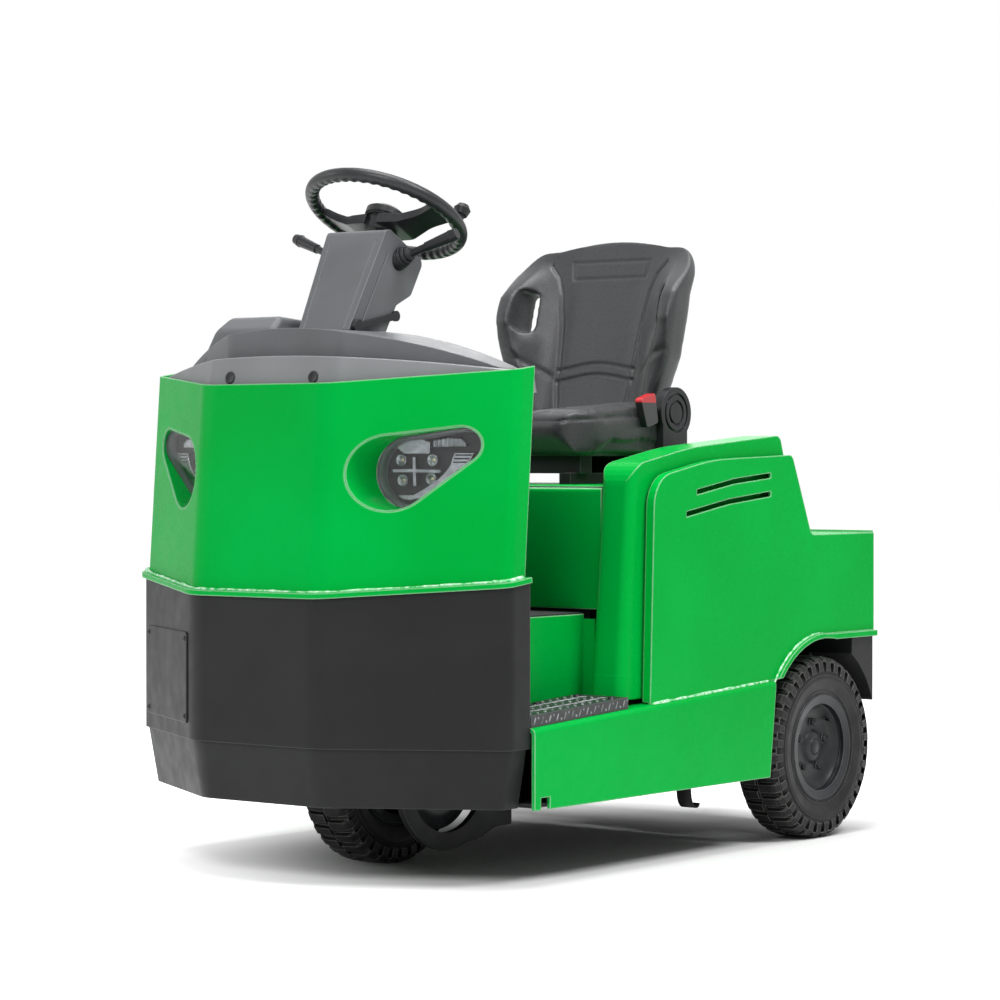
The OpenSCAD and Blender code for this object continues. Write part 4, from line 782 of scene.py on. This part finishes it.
skirtRows = [skirtRow(0, skirt["top"]), skirtRow(0, skirt["foot"] + skirt["lip"][1]), skirtRow(skirt["lip"][0], skirt["foot"]),
             skirtRow(skirt["thick"], skirt["foot"]), skirtRow(skirt["thick"], skirt["top"])]
skirtCount = len(skirtRows[0])
skirtFaces = gridFaces(5, skirtCount, True, False).tolist()
skirtFaces += [[k * skirtCount for k in range(5)], [k * skirtCount - 1 for k in (5, 4, 3, 2, 1)]]
skirtShape = bothSides((np.concatenate(skirtRows), skirtFaces))
addPiece("ridgeSkirts", skirtShape, foldCoat, "hood", smooth=False)

# cheek plates: the turned-out edge at the platform's rear corner, which closes the view into the battery bay
cheek = {"line": ((347, 630), (360, 632), (374, 637)), "foot": 302, "top": 508, "thick": 3}
cheekLine = np.array(cheek["line"], float)
cheekBack = cheekLine + np.array([0, cheek["thick"]])
cheekRing = np.concatenate([cheekLine, cheekBack[::-1]])
cheekRows = [np.column_stack([cheekRing, np.full(6, z)]) for z in (cheek["foot"], cheek["top"])]
addPiece("cheekPlates", bothSides(plate(*cheekRows)), foldCoat, smooth=False)
print("wheels, tail lamps, strap, pod, skirts and plates done")


def bakedMesh(piece):  # what the live modifiers give, as a mesh of its own
    graph = bpy.context.evaluated_depsgraph_get()
    return bpy.data.meshes.new_from_object(piece.evaluated_get(graph))


def bakeIn(piece):  # the live modifiers made part of the piece's own mesh
    mesh = bakedMesh(piece)
    piece.modifiers.clear()
    piece.data = mesh
    return mesh


def setRows(mesh, rows):
    mesh.vertices.foreach_set("co", rows.ravel())
    mesh.update()


def ramped(low, wide, value):  # 0 below a value, 1 past a width above it
    return np.clip((value - low) / wide, 0, 1)


def smoothStep(low, wide, value):  # the same with a soft start and end
    t = ramped(low, wide, value)
    return t * t * (3 - 2 * t)


def lineDistance(points, line):  # shortest distance from points in a plane to a line of straight pieces
    best = np.full(len(points), 1e9)
    for p, q in zip(np.array(line[:-1], float), np.array(line[1:], float)):
        t = np.clip((points - p) @ (q - p) / ((q - p) @ (q - p)), 0, 1)
        best = np.minimum(best, np.linalg.norm(points - p - t[:, None] * (q - p), axis=1))
    return best


# foam pad in a vinyl skin: the solid's mesh remeshed, softened, set in a little, then blown up with cloth pressure
def foamPad(node, name, look):
    piece = placed(name, nodes[node].data.copy())
    work = bmesh.new()
    work.from_mesh(piece.data)
    bmesh.ops.remove_doubles(work, verts=work.verts, dist=1e-5)
    work.to_mesh(piece.data)
    work.free()
    remesh = piece.modifiers.new("remesh", "REMESH")
    remesh.mode = "VOXEL"
    remesh.voxel_size = look["voxelMm"] / 1000
    soften = piece.modifiers.new("soften", "SMOOTH")
    soften.factor, soften.iterations = 0.5, look["soften"]
    mesh = bakeIn(piece)
    start = vertexRows(mesh, "co") - vertexRows(mesh, "normal") * look["insetMm"] / 1000
    setRows(mesh, start)
    cloth = piece.modifiers.new("cloth", "CLOTH")
    cloth.settings.use_pressure = True
    cloth.settings.uniform_pressure_force = look["pressure"]
    cloth.settings.effector_weights.gravity = 0
    cloth.point_cache.frame_end = look["frames"]
    for step in range(1, look["frames"] + 1):
        scene.frame_set(step)
    move = vertexRows(bakedMesh(piece), "co") - start
    piece.modifiers.clear()
    scene.frame_set(1)
    length = np.linalg.norm(move, axis=1, keepdims=True)
    setRows(mesh, start + move * np.minimum(1, look["capMm"] / 1000 / np.maximum(length, 1e-9)))
    divide = piece.modifiers.new("divide", "SUBSURF")
    divide.levels = divide.render_levels = 1
    mesh = bakeIn(piece)
    mesh.polygons.foreach_set("use_smooth", np.full(len(mesh.polygons), True))
    mesh.materials.clear()
    mesh.materials.append(greyVinyl)
    return piece


def pressSeams(mesh, flat, mask, seams):
    # each seam pushes the skin in along its normal by depth * exp(-(distance / width)^2)
    push = sum(depth * np.exp(-(lineDistance(flat, line) / width) ** 2) for line, depth, width in seams)
    setRows(mesh, vertexRows(mesh, "co") - vertexRows(mesh, "normal") * (push * mask / 1000)[:, None])


def settle(piece, node):
    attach(piece, "hood")
    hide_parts(node)
    print(node, "padded:", len(piece.data.polygons), "faces")


# the back, worked on in its own upright frame: x across, y through, z up from the foot
backLook = {"voxelMm": 5.6, "soften": 20, "insetMm": 0.5, "pressure": 3.0, "frames": 20, "capMm": 1.6, "ease": 14,
            "at": (0, 1128, 925), "lean": 14, "slot": ((192, 212), (192, 292)), "slotR": 24, "slotIn": 7, "slotBlur": 17,
            "half": 250, "strip": 10, "crest": (424, 20, 150), "shoulder": (138, 90), "neck": (330, 40), "wing": (265, 140, 0.85)}
seatBack = foamPad("seat_back", "seatBackPad", backLook)


def upright(mesh):
    return leaned(drawn(vertexRows(mesh, "co")) - np.array(backLook["at"]), (0, 0, 0), backLook["lean"])


local = upright(seatBack.data)
# the grip slots drawn closer: points near a slot's middle line move towards it
folded = np.stack([np.abs(local[:, 0]), local[:, 2]], -1)
slotFoot, slotHead = np.array(backLook["slot"], float)
slotWay = slotHead - slotFoot
share = np.clip((folded - slotFoot) @ slotWay / (slotWay @ slotWay), 0, 1)
nearest = slotFoot + share[:, None] * slotWay
off = np.linalg.norm(folded - nearest, axis=1)
pull = backLook["slotIn"] * np.exp(-((off - backLook["slotR"]) / backLook["slotBlur"]) ** 2) / np.maximum(off, 1e-6)
folded = folded - (folded - nearest) * np.minimum(pull, 0.8)[:, None]
local[:, 0] = np.sign(local[:, 0]) * folded[:, 0]
local[:, 2] = folded[:, 1]
# the top edge drawn to one low arch: heights above the neck are scaled so that each strip ends on it
strips = 2 * backLook["half"] // backLook["strip"]
at = (np.arange(strips) + 0.5) * backLook["strip"] - backLook["half"]
bins = np.clip(((local[:, 0] + backLook["half"]) / backLook["strip"]).astype(int), 0, strips - 1)
tops = np.zeros(strips)
np.maximum.at(tops, bins, local[:, 2])
crest, drop, reach = backLook["crest"]
outer = smoothStep(*backLook["shoulder"], np.abs(at))
goal = (1 - outer) * (crest - drop * (at / reach) ** 2) + outer * tops
neck, blur = backLook["neck"]
ratio = np.interp(local[:, 0], at, (goal - neck) / np.maximum(tops - neck, 1))
above = np.maximum(local[:, 2] - neck, 0)
local[:, 2] += above * (ratio - 1) * np.clip(above / blur, 0, 1)
# towards the top the wings draw back into one roll
wingFoot, wingTall, wingShare = backLook["wing"]
local[:, 1] *= np.where(local[:, 1] < 0, 1 - wingShare * smoothStep(wingFoot, wingTall, local[:, 2]), 1)
setRows(seatBack.data, sheet(leaned(local, backLook["at"], -backLook["lean"])))
ease = seatBack.modifiers.new("ease", "SMOOTH")
ease.factor, ease.iterations = 0.5, backLook["ease"]
bakeIn(seatBack)
# seams in that frame's front view: two long ones, two arcs between them, a head panel and a fold in each wing
longSeam = np.array([(-96, 30), (-105, 94), (-104, 128), (-111, 227), (-122, 300), (-136, 340), (-160, 368)])
wingFold = np.array([(-236, 150), (-170, 128), (-122, 104)])
arcs = [[(x, top - 22 * (x / 100) ** 2 + 8 * (x / 100) ** 4) for x in range(-104, 105, 16)] for top in (134, 108)]
headPanel = [(-108, 376), (108, 376), (100, 336), (-100, 336), (-108, 376)]
sewn = {"long": (5.0, 5), "arc": (3.4, 5), "head": (2.4, 4.5), "fold": (2.5, 8)}  # depth and width
backSeams = [(longSeam * way, *sewn["long"]) for way in ((1, 1), (-1, 1))] + [(arc, *sewn["arc"]) for arc in arcs]
backSeams += [(headPanel, *sewn["head"])] + [(wingFold * way, *sewn["fold"]) for way in ((1, 1), (-1, 1))]
backNormal = leaned(vertexRows(seatBack.data, "normal"), (0, 0, 0), backLook["lean"])
facing = ramped(0.25, 0.3, -backNormal[:, 1])
pressSeams(seatBack.data, upright(seatBack.data)[:, [0, 2]], facing, backSeams)
settle(seatBack, "seat_back")

# the cushion: a sewn panel with three channels on top, and a roll line round its sides
cushionLook = {"voxelMm": 5.2, "soften": 16, "insetMm": 1.0, "pressure": 3.0, "frames": 20, "capMm": 3.5}
cushion = foamPad("seat_cushion", "seatCushionPad", cushionLook)
panel = [(-150, 1080), (-160, 900), (-150, 800), (-110, 772), (110, 772), (150, 800), (160, 900), (150, 1080)]
channels = [([(-154, y), (154, y)], 2.6, 6) for y in (850, 940, 1030)]
rollLine = [(700, 918), (760, 922), (900, 930), (1120, 936)]
up = ramped(0.3, 0.4, vertexRows(cushion.data, "normal")[:, 2])
pressSeams(cushion.data, drawn(vertexRows(cushion.data, "co"))[:, :2], up, [(panel, 4.5, 5)] + channels)
side = 1 - ramped(0.3, 0.4, np.abs(vertexRows(cushion.data, "normal")[:, 2]))
pressSeams(cushion.data, drawn(vertexRows(cushion.data, "co"))[:, 1:], side, [(rollLine, 2.8, 4.5)])
settle(cushion, "seat_cushion")
print("seat done")


# white floor: takes the shadow, and further off glows up to white for rays from the camera, in mirrors and through glass
def studioLight(tree):
    path = addNode(tree, "LightPath", {}).outputs
    seen = addNode(tree, "Math", {0: path["Is Camera Ray"], 1: path["Is Glossy Ray"]}, operation="MAXIMUM").outputs[0]
    return addNode(tree, "Math", {0: seen, 1: path["Is Transmission Ray"]}, operation="MAXIMUM").outputs[0]


# lamps are rows of name, place, aim, width and height in metres, and power
studio = {"floor": "#F2F2F2", "reachM": 40, "glow": 0.85, "shade": (420, 900), "near": 0.6, "far": 1.35, "world": 0.23, "lamps": (
    ("keyBox", (2000, -3800, 4200), (0, 400, 600), 2.0, 2.0, 140),
    ("sideBox", (3400, 1000, 5000), (0, 800, 600), 1.8, 1.8, 165),
    ("topBox", (200, 700, 5400), (0, 700, 0), 2.6, 2.6, 190),
    ("backBox", (-2600, 4200, 3000), (0, 800, 700), 2.4, 2.4, 45),
    ("leftBox", (-4200, -2600, 2600), (0, 300, 500), 2.4, 2.4, 40))}
floorMesh = bpy.data.meshes.new("floor")
reach = studio["reachM"]
floorMesh.from_pydata([(-reach, -reach, 0), (reach, -reach, 0), (reach, reach, 0), (-reach, reach, 0)], [], [(0, 1, 2, 3)])
floor = placed("floor", floorMesh)
paper, paperTree = emptyMaterial("studioPaper")
spot = addNode(paperTree, "TexCoord", {}).outputs["Object"]
middle = tuple(sheet((*studio["shade"], 0)).tolist())
away = addNode(paperTree, "VectorMath", {0: spot, 1: middle}, operation="DISTANCE").outputs["Value"]
ramp = rescaled(paperTree, away, studio["near"], studio["far"], toHigh=studio["glow"], interpolation_type="SMOOTHSTEP")
fillSeen = addNode(paperTree, "Math", {0: studioLight(paperTree), 1: ramp}, operation="MULTIPLY").outputs[0]
diffuse = addNode(paperTree, "BsdfDiffuse", {"Color": paintHex(studio["floor"])}).outputs[0]
glow = addNode(paperTree, "Emission", {"Strength": fillSeen}).outputs[0]
both = addNode(paperTree, "AddShader", {0: diffuse, 1: glow}).outputs[0]
addNode(paperTree, "OutputMaterial", {"Surface": both})
floorMesh.materials.append(paper)
world = bpy.data.worlds.new("studio")
scene.world = world
world.use_nodes = True
worldTree = world.node_tree
strength = rescaled(worldTree, studioLight(worldTree), 0.0, 1.0, toLow=studio["world"])
worldTree.links.new(strength, worldTree.nodes["Background"].inputs[1])
worldTree.nodes["Background"].inputs[0].default_value = (1, 1, 1, 1)
for name, at, aim, wide, tall, power in studio["lamps"]:
    data = bpy.data.lights.new(name, "AREA")
    data.shape = "RECTANGLE"
    data.size, data.size_y = wide, tall
    data.energy = power
    light = placed(name, data)
    light.location = sheet(at)
    light.rotation_euler = (Vector(sheet(aim)) - light.location).to_track_quat("-Z", "Y").to_euler()
    light.visible_camera = False
scene.view_settings.view_transform = "Standard"
print("studio lit")
